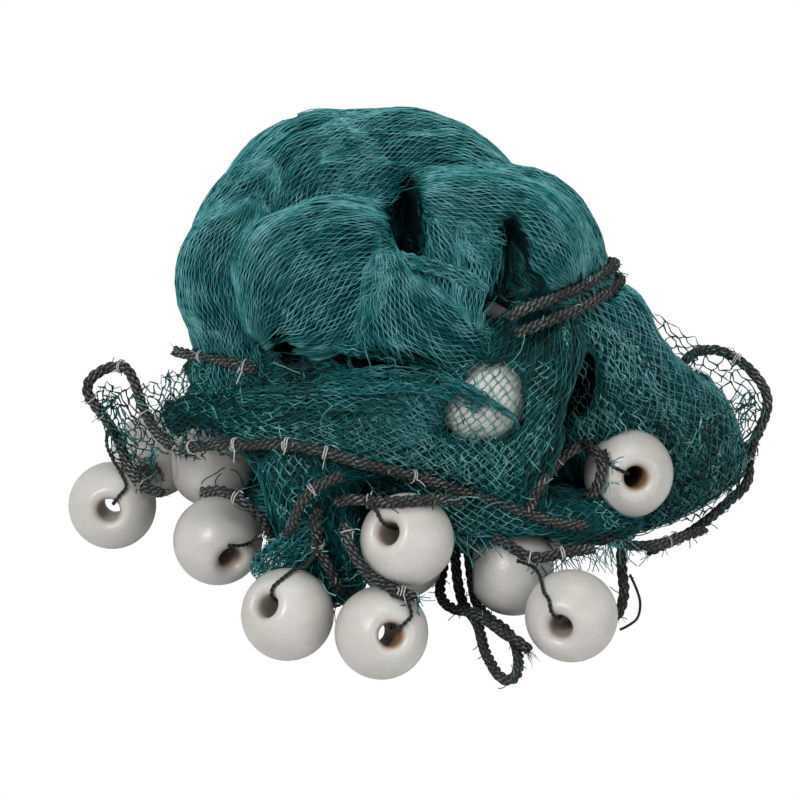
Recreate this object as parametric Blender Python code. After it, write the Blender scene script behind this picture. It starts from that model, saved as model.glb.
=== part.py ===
"""Fishing net with its rope edge and ring floats, gathered in a heap on the floor.

One named object for each piece that a netmaker makes up: the netting, the ropes that are bent on
along its edge, the moulded floats and the cords that tie them.  The tables hold millimetres, with
+X to the right, +Y to the back and +Z up; the origin is on the floor under the heap.
"""

import math
from typing import NamedTuple

import bmesh
import bpy
import numpy as np
from mathutils import Matrix, Vector
from mathutils.geometry import interpolate_bezier

MM = 0.001

FLOAT_RADIUS = 38.5
BORE_RADIUS = 9.5
BORE_LIP_RADIUS = 7.0
FLOAT_SIDES = 14
OUTER_ARC_STEPS = 3
LIP_ARC_STEPS = 2
FLAT_SPOT_SINK = 1.0

ROPE_RADIUS = 5.0
ROPE_GROOVE_RADIUS = 3.9
ROPE_STRANDS = 3
ROPE_LAY_LENGTH = 42.0
ROPE_STEPS_PER_LAY = 5
TIE_RADIUS = 1.8
TIE_SIDES = 5
TIE_STEP = 5.0
TIE_GAP = 0.9
TIE_SEAT = 0.4
TIE_HITCH = 10.0
HITCH_SEARCH_STEP = 2.0

BED_GAP = 0.7
FLOAT_BED_GAP = 1.05
BED_SIDES = 6
BED_STEP = 11.0

NETTING_VOXEL = 5.0
NETTING_TRIANGLES = 4300
NETTING_TRIANGLES_LEFT = 7800
FOLD_SIDES = 96
FOLD_STEP = 8.0
PLEAT_WIDTH = 28.0
PLEAT_DEPTH = 5.5
EASE_ROUNDS = 2
TUCK_PITCH = 32.0
LATTICE_THICKNESS = 2.4
LATTICE_BAR = 3.0


class Float(NamedTuple):
    """A ring float: its centre and the way its bore points."""

    centre: tuple
    bore: tuple


class Fold(NamedTuple):
    """A bunch of gathered netting along a spine, with a row of half sizes for each spine point."""

    spine: tuple
    half_sizes: tuple
    faces: tuple


class Tuck(NamedTuple):
    """A deep crease between folds: its half sizes across, into and up the heap, lean and bend."""

    centre: tuple
    half_sizes: tuple
    lean: float
    bend: float


class Tie(NamedTuple):
    """A float's tie cord: the float's number, and the cord's route to the lip of its bore."""

    float_number: int
    route: tuple


class Lattice(NamedTuple):
    """A stretch of open mesh: rows of points across it, and how many meshes it has each way."""

    rows: tuple
    across: int
    down: int


FLOATS = (
    Float(centre=(-266, 18, 0), bore=(0.0, -0.90, 0.44)),
    Float(centre=(-236, 98, 0), bore=(0.0, 1.0, 0.0)),
    Float(centre=(-178, 41, 66), bore=(-0.90, -0.20, 0.10)),
    Float(centre=(-170, -36, 0), bore=(0.40, -0.91, 0.04)),
    Float(centre=(-106, -142, 0), bore=(-0.50, -0.53, 0.68)),
    Float(centre=(-28, -167, 0), bore=(0.25, -0.81, 0.53)),
    Float(centre=(-7, -128, 103), bore=(-0.50, -0.59, 0.63)),
    Float(centre=(-12, -56, 0), bore=(1.0, 0.0, 0.0)),
    Float(centre=(56, -47, 190), bore=(1.0, 0.0, 0.0)),
    Float(centre=(83, -80, 0), bore=(1.0, 0.0, 0.0)),
    Float(centre=(118, -10, 50), bore=(1.0, 0.0, 0.0)),
    Float(centre=(129, -144, 0), bore=(-0.35, -0.89, 0.29)),
    Float(centre=(182, -25, 100), bore=(0.12, -0.89, 0.44)),
    Float(centre=(66, 14, 240), bore=(1.0, 0.0, 0.0)),
)

FOLDS = {
    "base": Fold(
        spine=((-162, 74, 58), (-60, 50, 66), (60, 45, 66), (140, 60, 55)),
        half_sizes=((56, 60), (96, 70), (98, 70), (70, 56)),
        faces=(0, 0, 1)),
    "middle": Fold(
        spine=((-128, 72, 190), (-50, 70, 205), (50, 65, 200), (105, 62, 180)),
        half_sizes=((60, 70), (88, 84), (84, 82), (60, 66)),
        faces=(0, 0, 1)),
    "crown_left": Fold(
        spine=((-118, 42, 244), (-108, 56, 276), (-84, 80, 304), (-48, 90, 312)),
        half_sizes=((58, 40), (70, 46), (78, 48), (72, 48)),
        faces=(-0.3, -0.5, 0.8)),
    "crown_right": Fold(
        spine=((-60, 82, 312), (-16, 92, 312), (24, 90, 304), (50, 78, 286)),
        half_sizes=((66, 48), (78, 50), (74, 50), (56, 42)),
        faces=(0.1, -0.5, 0.86)),
    "left_front": Fold(
        spine=((-18, 4, 300), (-52, -10, 294), (-88, -24, 278), (-106, -30, 258)),
        half_sizes=((34, 30), (58, 42), (70, 48), (50, 40)),
        faces=(0, -0.85, 0.53)),
    "left_side": Fold(
        spine=((-136, 22, 300), (-150, 8, 270), (-148, -2, 236)),
        half_sizes=((38, 38), (44, 44), (34, 34)),
        faces=(-0.4, -0.8, 0.4)),
    "left_foot": Fold(
        spine=((-150, 4, 236), (-146, 0, 214), (-140, 0, 190)),
        half_sizes=((40, 34), (42, 36), (46, 40)),
        faces=(-0.4, -0.8, 0.4)),
    "right_front": Fold(
        spine=((6, 36, 322), (40, 26, 316), (80, 14, 300), (110, 2, 280)),
        half_sizes=((30, 30), (46, 38), (54, 44), (44, 38)),
        faces=(0.2, -0.8, 0.5)),
    "right_side": Fold(
        spine=((74, 74, 306), (102, 62, 290), (116, 44, 266), (120, 30, 248)),
        half_sizes=((38, 40), (44, 46), (46, 46), (40, 36)),
        faces=(0.8, -0.4, 0.4)),
    "tuck_left": Fold(
        spine=((6, 2, 322), (18, -18, 304), (24, -30, 280)),
        half_sizes=((16, 16), (20, 20), (18, 18)),
        faces=(0, -0.85, 0.53)),
    "tuck_right": Fold(
        spine=((44, -2, 312), (50, -22, 290), (44, -38, 266)),
        half_sizes=((20, 18), (24, 20), (20, 18)),
        faces=(0, -0.85, 0.53)),
    "middle_drape": Fold(
        spine=((-30, -14, 300), (-16, -40, 262), (4, -52, 232), (30, -48, 206)),
        half_sizes=((26, 24), (46, 32), (60, 34), (64, 30)),
        faces=(0, -0.85, 0.53)),
    "apron": Fold(
        spine=((92, -16, 250), (66, -38, 218), (44, -52, 184), (22, -62, 146), (14, -62, 116)),
        half_sizes=((34, 22), (52, 26), (74, 28), (98, 26), (104, 20)),
        faces=(0, -0.85, 0.53)),
    "left_bunch": Fold(
        spine=((10, -42, 196), (-60, -50, 190), (-126, -36, 180), (-180, -12, 164),
               (-214, 8, 146)),
        half_sizes=((34, 28), (40, 30), (40, 28), (34, 20), (26, 8)),
        faces=(0, -0.85, 0.53)),
    "left_apron": Fold(
        spine=((-30, -62, 168), (-84, -66, 160), (-130, -58, 152)),
        half_sizes=((36, 24), (38, 24), (30, 20)),
        faces=(0, -0.85, 0.53)),
    "front_low": Fold(
        spine=((0, -66, 112), (48, -78, 99), (98, -80, 89), (146, -58, 76), (186, -34, 64)),
        half_sizes=((24, 18), (27, 19), (28, 20), (26, 20), (24, 18)),
        faces=(0, -0.85, 0.53)),
    "front_bunch": Fold(
        spine=((-94, -76, 150), (-86, -90, 112), (-76, -92, 70), (-70, -88, 30)),
        half_sizes=((34, 20), (38, 22), (34, 24), (34, 28)),
        faces=(0, -0.9, 0.4)),
    "shoulder": Fold(
        spine=((92, 30, 282), (118, 14, 254), (146, 10, 214), (182, 16, 150), (208, 28, 84),
               (220, 34, 24)),
        half_sizes=((44, 32), (42, 32), (58, 32), (72, 30), (82, 26), (88, 22)),
        faces=(0.2, -0.85, 0.5)),
    "back_left": Fold(
        spine=((-100, 124, 262), (-122, 158, 180), (-126, 176, 80), (-124, 178, 12)),
        half_sizes=((50, 38), (54, 42), (52, 40), (60, 38)),
        faces=(-0.4, 0.9, 0.1)),
    "back_middle": Fold(
        spine=((-22, 146, 288), (-26, 180, 200), (-18, 196, 90), (-10, 198, 12)),
        half_sizes=((58, 38), (62, 42), (58, 40), (70, 40)),
        faces=(0, 1, 0.1)),
    "back_right": Fold(
        spine=((76, 118, 262), (98, 154, 170), (116, 172, 80), (120, 174, 12)),
        half_sizes=((48, 36), (52, 40), (54, 38), (64, 38)),
        faces=(0.4, 0.9, 0.1)),
}

TUCKS = (
    Tuck(centre=(-9, 4, 318), half_sizes=(15, 58, 46), lean=-10, bend=0.5),
    Tuck(centre=(68, -8, 286), half_sizes=(14, 52, 46), lean=-10, bend=-0.5),
    Tuck(centre=(70, -22, 258), half_sizes=(26, 34, 14), lean=20, bend=0.4),
    Tuck(centre=(-22, -62, 232), half_sizes=(54, 40, 13), lean=6, bend=0.6),
    Tuck(centre=(-88, -60, 226), half_sizes=(34, 34, 11), lean=-4, bend=-0.5),
    Tuck(centre=(126, -34, 186), half_sizes=(15, 44, 56), lean=-16, bend=-0.5),
    Tuck(centre=(-112, -22, 250), half_sizes=(12, 40, 50), lean=-14, bend=0.6),
)

LATTICES = {
    "left_ear": Lattice(
        rows=(((-282, 46, 148), (-262, 54, 156), (-240, 50, 152), (-218, 36, 158), (-190, 16, 168)),
              ((-272, 40, 126), (-254, 42, 134), (-234, 36, 136), (-214, 24, 144), (-188, 4, 156)),
              ((-258, 30, 102), (-244, 28, 110), (-226, 24, 122), (-210, 12, 132), (-188, -4, 146)),
              ((-242, 10, 80), (-230, 10, 92), (-216, 8, 108), (-204, 0, 120), (-184, -14, 136))),
        across=6, down=4),
    "right_ear": Lattice(
        rows=(((205, 70, 175), (250, 112, 136), (266, 114, 138)),
              ((215, 60, 140), (265, 98, 120), (304, 96, 122)),
              ((220, 50, 100), (272, 84, 92), (311, 78, 92)),
              ((225, 40, 60), (268, 66, 60), (300, 60, 56))),
        across=4, down=5),
}

EDGE_ROPES = {
    "edge_rope_left_ear": (
        (-218, -10, 70), (-228, -6, 70), (-240, 2, 73), (-251, 18, 84), (-258, 28, 99),
        (-266, 34, 112), (-276, 40, 124), (-284, 44, 137), (-282, 48, 148), (-271, 52, 156),
        (-259, 52, 160), (-249, 46, 161), (-242, 37, 153), (-236, 25, 140), (-228, 11, 130),
        (-219, -5, 126), (-208, -22, 126)),
    "edge_rope_front": (
        (-197, -34, 131), (-184, -50, 143), (-169, -64, 154), (-151, -76, 162),
        (-130, -85, 168), (-108, -92, 173), (-86, -97, 172), (-64, -100, 166), (-42, -100, 158),
        (-18, -98, 150), (8, -94, 139), (36, -88, 125), (64, -80, 111), (88, -72, 99)),
    "edge_rope_upper_left": (
        (-203, 14, 198), (-187, -4, 205), (-168, -24, 214), (-150, -40, 219), (-132, -48, 218)),
    "edge_rope_float_drop": (
        (-178, -72, 112), (-163, -83, 121), (-149, -93, 122), (-137, -98, 114),
        (-127, -98, 101), (-122, -92, 86), (-119, -84, 68)),
    "edge_rope_front_left": (
        (-60, -113, 156), (-72, -118, 154), (-84, -122, 148), (-94, -125, 136),
        (-100, -122, 119), (-105, -112, 100), (-107, -100, 84)),
    "edge_rope_front_right": (
        (-80, -114, 125), (-82, -119, 111), (-81, -122, 97), (-76, -125, 83),
        (-69, -128, 69), (-64, -126, 55), (-60, -119, 41)),
    "edge_rope_over_float": (
        (-64, -112, 130), (-53, -121, 138), (-37, -123, 138), (-22, -134, 144.5),
        (-6, -136, 147), (10, -130.5, 144), (24, -120, 137), (36, -105, 124)),
    "edge_rope_round_float": (
        (-57, -128, 119), (-54, -138, 107), (-48, -146, 96), (-38, -155.5, 88), (-26, -160.5, 82),
        (-13, -166, 78.3), (-1, -166, 73.4)),
    "edge_rope_right": (
        (95, -76, 100), (99, -75, 112), (105, -72, 124), (113, -68, 135), (124, -64, 144),
        (136, -62, 151)),
    "edge_rope_right_ear": (
        (240, 104, 134), (252, 114, 137), (266, 115, 139), (279, 111, 137), (292, 105, 131),
        (304, 97, 122), (312, 90, 111), (314, 84, 100), (311, 78, 89), (305, 72, 77),
        (300, 66, 65), (298, 60, 54), (298, 54, 44), (293, 46, 37), (283, 38, 32),
        (270, 26, 27), (256, 14, 22), (240, 2, 18), (222, -8, 15), (204, -18, 13)),
    "edge_rope_right_low": (
        (150, -66, 66), (168, -66, 58), (190, -62, 50), (212, -48, 43), (234, -30, 38),
        (252, -14, 34)),
    "edge_rope_front_low": (
        (66, -103, 88), (80, -112, 84), (92, -117, 79), (104, -118, 78), (118, -116, 80),
        (134, -110, 79), (148, -100, 74)),
    "edge_rope_float_loop": (
        (138, -16, 132), (147, -30, 131), (154, -42, 131), (157, -52, 125), (155, -57, 116),
        (152, -58, 107), (147, -55, 97), (140, -50, 90)),
    "edge_rope_tail": (
        (180, -38, 52), (177, -54, 38), (177, -70, 28), (178, -84, 19), (175, -96, 11),
        (170, -104, 6)),
}

TIE_ROPES = {
    "tie_rope_upper": (
        (76, -52, 270), (91, -46, 275), (107, -37, 276), (123, -25, 276), (139, -10, 275),
        (153, 8, 274), (163, 24, 272), (168, 40, 268), (164, 54, 262), (152, 62, 256)),
    "tie_rope_lower": (
        (82, -55, 256), (97, -50, 260), (113, -42, 262), (130, -30, 263), (146, -14, 262),
        (160, 5, 260), (169, 22, 258), (173, 38, 254), (169, 54, 248), (157, 64, 243)),
}

LOOSE_LOOP_ROPE = (
    (34, -34, 34), (35, -52, 26), (37, -66, 14), (40, -79, 6.4), (44, -91, 5.4), (49, -102, 5.4),
    (53, -114, 5.4), (55, -128, 5.4), (58, -150, 5.4), (63, -168, 5.4), (68, -182, 5.4),
    (75, -189, 5.4), (82, -184, 5.4), (85, -170, 5.4), (85, -152, 5.4), (82, -134, 5.4),
    (75, -119, 5.4), (66, -109, 5.4), (59, -98, 5.4), (54, -87, 5.4), (51, -75, 7.0),
    (49, -62, 14), (47, -50, 26), (46, -34, 34))
LOOSE_TAIL_ROPE = (
    (28, -14, 22), (26, -30, 16), (24, -46, 11), (22, -60, 8), (22, -72, 6), (26, -84, 5.6),
    (34, -96, 8.5), (43, -106, 14), (54, -117, 16.6), (64, -128, 16.8), (76, -143, 16.8),
    (86, -152, 16.4), (94, -158, 12))


TIES = (
    Tie(float_number=1, route=(
        (-265, 26, 115), (-268, 24, 99), (-264, 20, 87), (-257, 12, 73), (-251, 0, 69))),
    Tie(float_number=4, route=(
        (-129, -88, 84), (-134, -74, 68), (-139, -60, 53), (-148, -67, 54), (-157, -71, 57))),
    Tie(float_number=5, route=(
        (-84, -145, 95), (-90, -138, 84), (-99, -133, 77), (-105, -143, 78))),
    Tie(float_number=6, route=((-9, -171, 76), (-5, -176, 70), (-4, -183, 66))),
    Tie(float_number=7, route=((-41, -137, 143), (-35, -132, 137), (-32, -134, 136))),
    Tie(float_number=12, route=(
        (96, -123, 72), (102, -127, 68), (104, -140, 69), (106, -154, 68), (109, -162, 67))),
    Tie(float_number=13, route=((166, -56, 131), (168, -53, 124))),
)

MATERIALS = {
    "twine": ((0.010, 0.125, 0.115), 0.55, 0.0),
    "rope": ((0.030, 0.032, 0.030), 0.75, 0.0),
    "float_plastic": ((0.66, 0.64, 0.60), 0.42, 0.0),
}


def finish(name):
    """Return the named material, made once."""
    known = bpy.data.materials.get(name)
    if known:
        return known
    colour, roughness, metallic = MATERIALS[name]
    material = bpy.data.materials.new(name)
    material.use_nodes = True
    shader = material.node_tree.nodes["Principled BSDF"]
    shader.inputs["Base Color"].default_value = (*colour, 1.0)
    shader.inputs["Roughness"].default_value = roughness
    shader.inputs["Metallic"].default_value = metallic
    return material


def clear_scene():
    """Remove every object of the open scene."""
    for item in list(bpy.data.objects):
        bpy.data.objects.remove(item, do_unlink=True)


def add_object(name, mesh, material):
    """Link a mesh to the scene as a named object with smooth faces."""
    mesh.shade_smooth()
    mesh.set_sharp_from_angle(angle=math.radians(50))
    item = bpy.data.objects.new(name, mesh)
    bpy.context.scene.collection.objects.link(item)
    mesh.materials.clear()
    mesh.materials.append(finish(material))
    return item


def add_guide(name, mesh):
    """Link a mesh as a cutter or guide, which is left out of the part."""
    item = bpy.data.objects.new(name, mesh)
    bpy.context.scene.collection.objects.link(item)
    item.hide_render = True
    item.display_type = "WIRE"
    return item


def mesh_from(name, bm):
    """Return a new mesh with the bmesh's shape in metres, and free the bmesh."""
    bmesh.ops.scale(bm, vec=(MM, MM, MM), verts=bm.verts)
    bmesh.ops.recalc_face_normals(bm, faces=bm.faces)
    mesh = bpy.data.meshes.new(name)
    bm.to_mesh(mesh)
    bm.free()
    return mesh


def smooth_route(points, step):
    """Return points every step mm or so along a smooth curve through the route's points."""
    knots = [Vector(point) for point in points]
    tangents = [(after - before) / 2 for before, after in
                zip([knots[0]] + knots[:-1], knots[1:] + [knots[-1]])]
    fine = []
    for first, second, leaving, arriving in zip(knots, knots[1:], tangents, tangents[1:]):
        fine += interpolate_bezier(first, first + leaving / 3, second - arriving / 3, second, 16)
    track = np.array([list(point) for point in fine])
    lengths = np.concatenate([[0.0], np.cumsum(np.linalg.norm(np.diff(track, axis=0), axis=1))])
    count = max(2, round(lengths[-1] / step))
    places = np.linspace(0.0, lengths[-1], count + 1)
    return [Vector([np.interp(place, lengths, track[:, axis]) for axis in range(3)])
            for place in places]


def frames_along(track):
    """Yield each point of a track with two unit vectors across it that don't twist about it."""
    side = (track[1] - track[0]).orthogonal().normalized()
    for index, point in enumerate(track):
        ahead = track[min(index + 1, len(track) - 1)] - track[max(index - 1, 0)]
        ahead.normalize()
        side = (side - ahead * side.dot(ahead)).normalized()
        yield point, side, ahead.cross(side)


def add_tube(bm, track, section, turn_per_step=0.0):
    """Loft a section, as radii at even angles, along a track, with both ends closed."""
    rings = []
    for index, (point, side, up) in enumerate(frames_along(track)):
        ring = []
        for number, radius in enumerate(section):
            angle = math.tau * number / len(section) + turn_per_step * index
            ring.append(bm.verts.new(
                point + side * radius * math.cos(angle) + up * radius * math.sin(angle)))
        rings.append(ring)
    for ring, following in zip(rings, rings[1:]):
        for number in range(len(section)):
            ahead = (number + 1) % len(section)
            bm.faces.new((ring[number], ring[ahead], following[ahead], following[number]))
    bm.faces.new(rings[0])
    bm.faces.new(rings[-1])


def make_rope(name, route):
    """Make a twisted rope, its three strands raised as ridges that wind along it."""
    bm = bmesh.new()
    section = [ROPE_RADIUS, ROPE_GROOVE_RADIUS] * ROPE_STRANDS
    track = smooth_route(route, ROPE_LAY_LENGTH / ROPE_STEPS_PER_LAY)
    add_tube(bm, track, section, math.tau / ROPE_STEPS_PER_LAY)
    return add_object(name, mesh_from(name, bm), "rope")


def make_tie(name, route):
    """Make a thin plain cord along a route."""
    bm = bmesh.new()
    add_tube(bm, smooth_route(route, TIE_STEP), [TIE_RADIUS] * TIE_SIDES)
    return add_object(name, mesh_from(name, bm), "rope")


def hitch_points(start, ropes):
    """Return two points on the skin of the rope nearest to a tie's start, one hitch apart."""
    tracks = [smooth_route(route, HITCH_SEARCH_STEP) for route in ropes]
    places = [(index, track) for track in tracks for index in range(1, len(track) - 1)]
    index, track = min(places, key=lambda place: (place[1][place[0]] - start).length)
    behind = max(1, index - round(TIE_HITCH / HITCH_SEARCH_STEP))
    points = []
    for spot in (behind, index):
        along = (track[spot + 1] - track[spot - 1]).normalized()
        off = start - track[index]
        off = (off - along * off.dot(along)).normalized()
        points.append(track[spot] + off * (ROPE_RADIUS + TIE_RADIUS + TIE_SEAT))
    return points


def tie_route(tie, ropes):
    """Return a tie's whole route: from its rope, along the float, over the lip, into the bore."""
    ring_float = FLOATS[tie.float_number - 1]
    centre = float_centre(ring_float)
    axis = Vector(ring_float.bore).normalized()
    lip_radius, lip_height = lip_ring()
    skin = FLOAT_RADIUS + TIE_RADIUS + TIE_GAP
    route = hitch_points(Vector(tie.route[0]), ropes)
    for point in tie.route[1:]:
        reach = Vector(point) - centre
        route.append(centre + reach * max(1.0, skin / reach.length))
    across = route[-1] - centre
    across = (across - axis * across.dot(axis)).normalized()
    bend = BORE_LIP_RADIUS + TIE_RADIUS + TIE_GAP
    for degrees in (85, 115, 145, 180):
        angle = math.radians(degrees)
        route.append(centre + across * (lip_radius + bend * math.cos(angle))
                     + axis * (lip_height + bend * math.sin(angle)))
    for depth in (7.0, 14.0):
        route.append(centre + across * (lip_radius - bend) + axis * (lip_height - depth))
    return route


def float_centre(ring_float):
    """Return a float's centre, which on the floor is just low enough to give a flat spot."""
    x, y, z = ring_float.centre
    return Vector((x, y, z if z else FLOAT_RADIUS - FLAT_SPOT_SINK))


def lip_ring():
    """Return the radius and height, from the float's centre, of the ring its lip is rounded on."""
    radius = BORE_RADIUS + BORE_LIP_RADIUS
    return radius, math.sqrt((FLOAT_RADIUS - BORE_LIP_RADIUS) ** 2 - radius ** 2)


def float_profile():
    """Return the float's half section as (radius, height) pairs, from its bore round its skin."""
    lip_radius, lip_height = lip_ring()
    lip_angle = math.atan2(lip_height, lip_radius)
    half = []
    for step in range(LIP_ARC_STEPS + 1):
        angle = math.pi + (lip_angle - math.pi) * step / LIP_ARC_STEPS
        half.append((lip_radius + BORE_LIP_RADIUS * math.cos(angle),
                     lip_height + BORE_LIP_RADIUS * math.sin(angle)))
    for step in range(1, OUTER_ARC_STEPS):
        angle = lip_angle * (1 - step / OUTER_ARC_STEPS)
        half.append((FLOAT_RADIUS * math.cos(angle), FLOAT_RADIUS * math.sin(angle)))
    return half + [(FLOAT_RADIUS, 0.0)] + [(radius, -height) for radius, height in reversed(half)]


def add_turned_float(bm, ring_float):
    """Add a float's skin to a bmesh, turned about its bore."""
    axis = Vector(ring_float.bore).normalized()
    side = axis.orthogonal().normalized()
    centre = float_centre(ring_float)
    verts = [bm.verts.new(centre + side * radius + axis * height)
             for radius, height in float_profile()]
    edges = [bm.edges.new(pair) for pair in zip(verts, verts[1:] + verts[:1])]
    bmesh.ops.spin(bm, geom=verts + edges, axis=axis, cent=centre, steps=FLOAT_SIDES,
                   angle=math.tau, use_merge=True)


def cut_at_floor(bm):
    """Cut off what lies below the floor and close the cut flat."""
    cut = bmesh.ops.bisect_plane(bm, geom=bm.verts[:] + bm.edges[:] + bm.faces[:],
                                 plane_co=(0, 0, 0), plane_no=(0, 0, 1), clear_inner=True)
    rim = [edge for edge in cut["geom_cut"] if isinstance(edge, bmesh.types.BMEdge)]
    if rim:
        bmesh.ops.holes_fill(bm, edges=rim, sides=0)


def make_float(name, ring_float):
    """Make a float: a turned skin with soft lips round its bore, and a flat spot on the floor."""
    bm = bmesh.new()
    add_turned_float(bm, ring_float)
    cut_at_floor(bm)
    return add_object(name, mesh_from(name, bm), "float_plastic")


def add_fold(bm, fold):
    """Add one bunch of netting: an oval section with pleats along it, swept down its spine."""
    spine = [Vector(point) for point in fold.spine]
    sizes = fold.half_sizes
    ends = (spine[0] + (spine[0] - spine[1]).normalized() * sizes[0][1] * 0.8,
            spine[-1] + (spine[-1] - spine[-2]).normalized() * sizes[-1][1] * 0.8)
    track = smooth_route([ends[0]] + spine + [ends[1]], FOLD_STEP)
    legs = [0.0]
    for before, after in zip([ends[0]] + spine, spine + [ends[1]]):
        legs.append(legs[-1] + (after - before).length)
    legs = np.array(legs) / legs[-1]
    widths = [0.25 * sizes[0][0]] + [size[0] for size in sizes] + [0.25 * sizes[-1][0]]
    depths = [0.25 * sizes[0][1]] + [size[1] for size in sizes] + [0.25 * sizes[-1][1]]
    outward = Vector(fold.faces).normalized()
    girth = math.pi * (max(widths) + max(depths))
    pleats = max(4, round(girth / PLEAT_WIDTH))
    rings = []
    for index, point in enumerate(track):
        ahead = (track[min(index + 1, len(track) - 1)] - track[max(index - 1, 0)]).normalized()
        side = ahead.cross(outward).normalized()
        face = side.cross(ahead)
        place = index / (len(track) - 1)
        width = np.interp(place, legs, widths)
        depth = np.interp(place, legs, depths)
        ring = []
        for number in range(FOLD_SIDES):
            angle = math.tau * number / FOLD_SIDES
            wave = PLEAT_DEPTH * math.cos(pleats * angle + 0.8 * math.sin(3 * place * math.pi))
            ring.append(bm.verts.new(point + side * (width + wave) * math.cos(angle)
                                     + face * (depth + wave) * math.sin(angle)))
        rings.append(ring)
    for ring, following in zip(rings, rings[1:]):
        for number in range(FOLD_SIDES):
            ahead = (number + 1) % FOLD_SIDES
            bm.faces.new((ring[number], ring[ahead], following[ahead], following[number]))
    bm.faces.new(rings[0])
    bm.faces.new(rings[-1])


def lattice_points(lattice):
    """Return the lattice's points by column and line, two columns and lines to a mesh."""
    columns, lines = 2 * lattice.across, 2 * lattice.down
    sheets = [smooth_row(row, columns) for row in lattice.rows]
    return [smooth_row(column, lines) for column in zip(*sheets)]


def smooth_row(points, count):
    """Return count + 1 points at even shares of a smooth curve through the given points."""
    knots = [Vector(point) for point in points]
    spread = []
    for place in np.linspace(0, len(knots) - 1, count + 1):
        low = min(int(place), len(knots) - 2)
        before, after = knots[max(low - 1, 0)], knots[min(low + 2, len(knots) - 1)]
        first, second = knots[low], knots[low + 1]
        part = place - low
        leaving, arriving = (second - before) / 2, (after - first) / 2
        spread.append(first * (2 * part ** 3 - 3 * part ** 2 + 1)
                      + second * (3 * part ** 2 - 2 * part ** 3)
                      + leaving * (part ** 3 - 2 * part ** 2 + part)
                      + arriving * (part ** 3 - part ** 2))
    return spread


def make_lattice(name, lattice):
    """Return open mesh as a guide: a thin sheet of diamonds with the middle of each cut out."""
    grid = lattice_points(lattice)
    bm = bmesh.new()
    verts = [[bm.verts.new(point) for point in column] for column in grid]
    for column in range(len(verts)):
        for line in range(len(verts[0])):
            if (column + line) % 2:
                spots = ((column - 1, line), (column, line - 1), (column + 1, line), (column, line + 1))
                ring = [verts[c][r] for c, r in spots if 0 <= c < len(verts) and 0 <= r < len(verts[0])]
                if len(ring) > 2:
                    bm.faces.new(ring)
    loose = [vert for vert in bm.verts if not vert.link_faces]
    bmesh.ops.delete(bm, geom=loose, context="VERTS")
    meshes = [face for face in bm.faces if len(face.verts) == 4]
    bmesh.ops.inset_individual(bm, faces=meshes, thickness=LATTICE_BAR / 2, use_even_offset=True)
    bmesh.ops.delete(bm, geom=meshes, context="FACES")
    sheet = add_guide(name, mesh_from(name, bm))
    wall = sheet.modifiers.new("thickness", "SOLIDIFY")
    wall.thickness = LATTICE_THICKNESS * MM
    wall.offset = 0.0
    return sheet


def make_tucks():
    """Return a guide for each deep crease: a bent ball with pointed ends, set into the heap."""
    guides = []
    for tuck in TUCKS:
        turn = Matrix.Rotation(math.radians(-TUCK_PITCH), 4, "X") @ Matrix.Rotation(
            math.radians(tuck.lean), 4, "Y")
        place = Matrix.Translation(tuck.centre) @ turn @ Matrix.Diagonal((*tuck.half_sizes, 1.0))
        along = 0 if tuck.half_sizes[0] > tuck.half_sizes[2] else 2
        across = 2 - along
        bm = bmesh.new()
        bmesh.ops.create_icosphere(bm, subdivisions=3, radius=1.0)
        for vert in bm.verts:
            reach = vert.co[along] ** 2
            vert.co[across] = vert.co[across] * math.sqrt(max(0.02, 1 - reach)) + tuck.bend * reach
        bmesh.ops.transform(bm, matrix=place, verts=bm.verts)
        guides.append(add_guide("tuck", mesh_from("tuck", bm)))
    return guides


def make_beds(routes, tie_routes):
    """Return a guide for each float, rope and tie, a little larger, to bed it in the netting."""
    guides = []
    for ring_float in FLOATS:
        ball = Matrix.Translation(float_centre(ring_float))
        bm = bmesh.new()
        bmesh.ops.create_icosphere(bm, subdivisions=3, radius=FLOAT_RADIUS + FLOAT_BED_GAP, matrix=ball)
        guides.append(add_guide("float_bed", mesh_from("float_bed", bm)))
    beds = [(route, ROPE_RADIUS, BED_STEP) for route in routes]
    beds += [(route, TIE_RADIUS, BED_STEP) for route in tie_routes]
    for route, radius, step in beds:
        bed_radius = (radius + BED_GAP) / math.cos(math.pi / BED_SIDES)
        track = smooth_route(route, step)
        track[0] += (track[0] - track[1]).normalized()
        track[-1] += (track[-1] - track[-2]).normalized()
        bm = bmesh.new()
        add_tube(bm, track, [bed_radius] * BED_SIDES)
        guides.append(add_guide("rope_bed", mesh_from("rope_bed", bm)))
    return guides


def evaluated(item, name):
    """Return a new mesh with the object's modifiers applied, and remove the object."""
    graph = bpy.context.evaluated_depsgraph_get()
    mesh = bpy.data.meshes.new_from_object(item.evaluated_get(graph), depsgraph=graph)
    mesh.name = name
    bpy.data.objects.remove(item, do_unlink=True)
    return mesh


def combine(item, others, operation):
    """Return a guide that is the item joined with, or cut by, each of the other guides.

    The exact solver returns nothing for the grown skin, so this uses the manifold one.
    """
    for other in others:
        step = item.modifiers.new(other.name, "BOOLEAN")
        step.operation = operation
        step.object = other
        step.solver = "MANIFOLD"
    result = add_guide(item.name, evaluated(item, item.name))
    for other in others:
        bpy.data.objects.remove(other, do_unlink=True)
    return result


def count_triangles(mesh):
    """Return how many triangles a mesh's faces make."""
    mesh.calc_loop_triangles()
    return len(mesh.loop_triangles)


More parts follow.
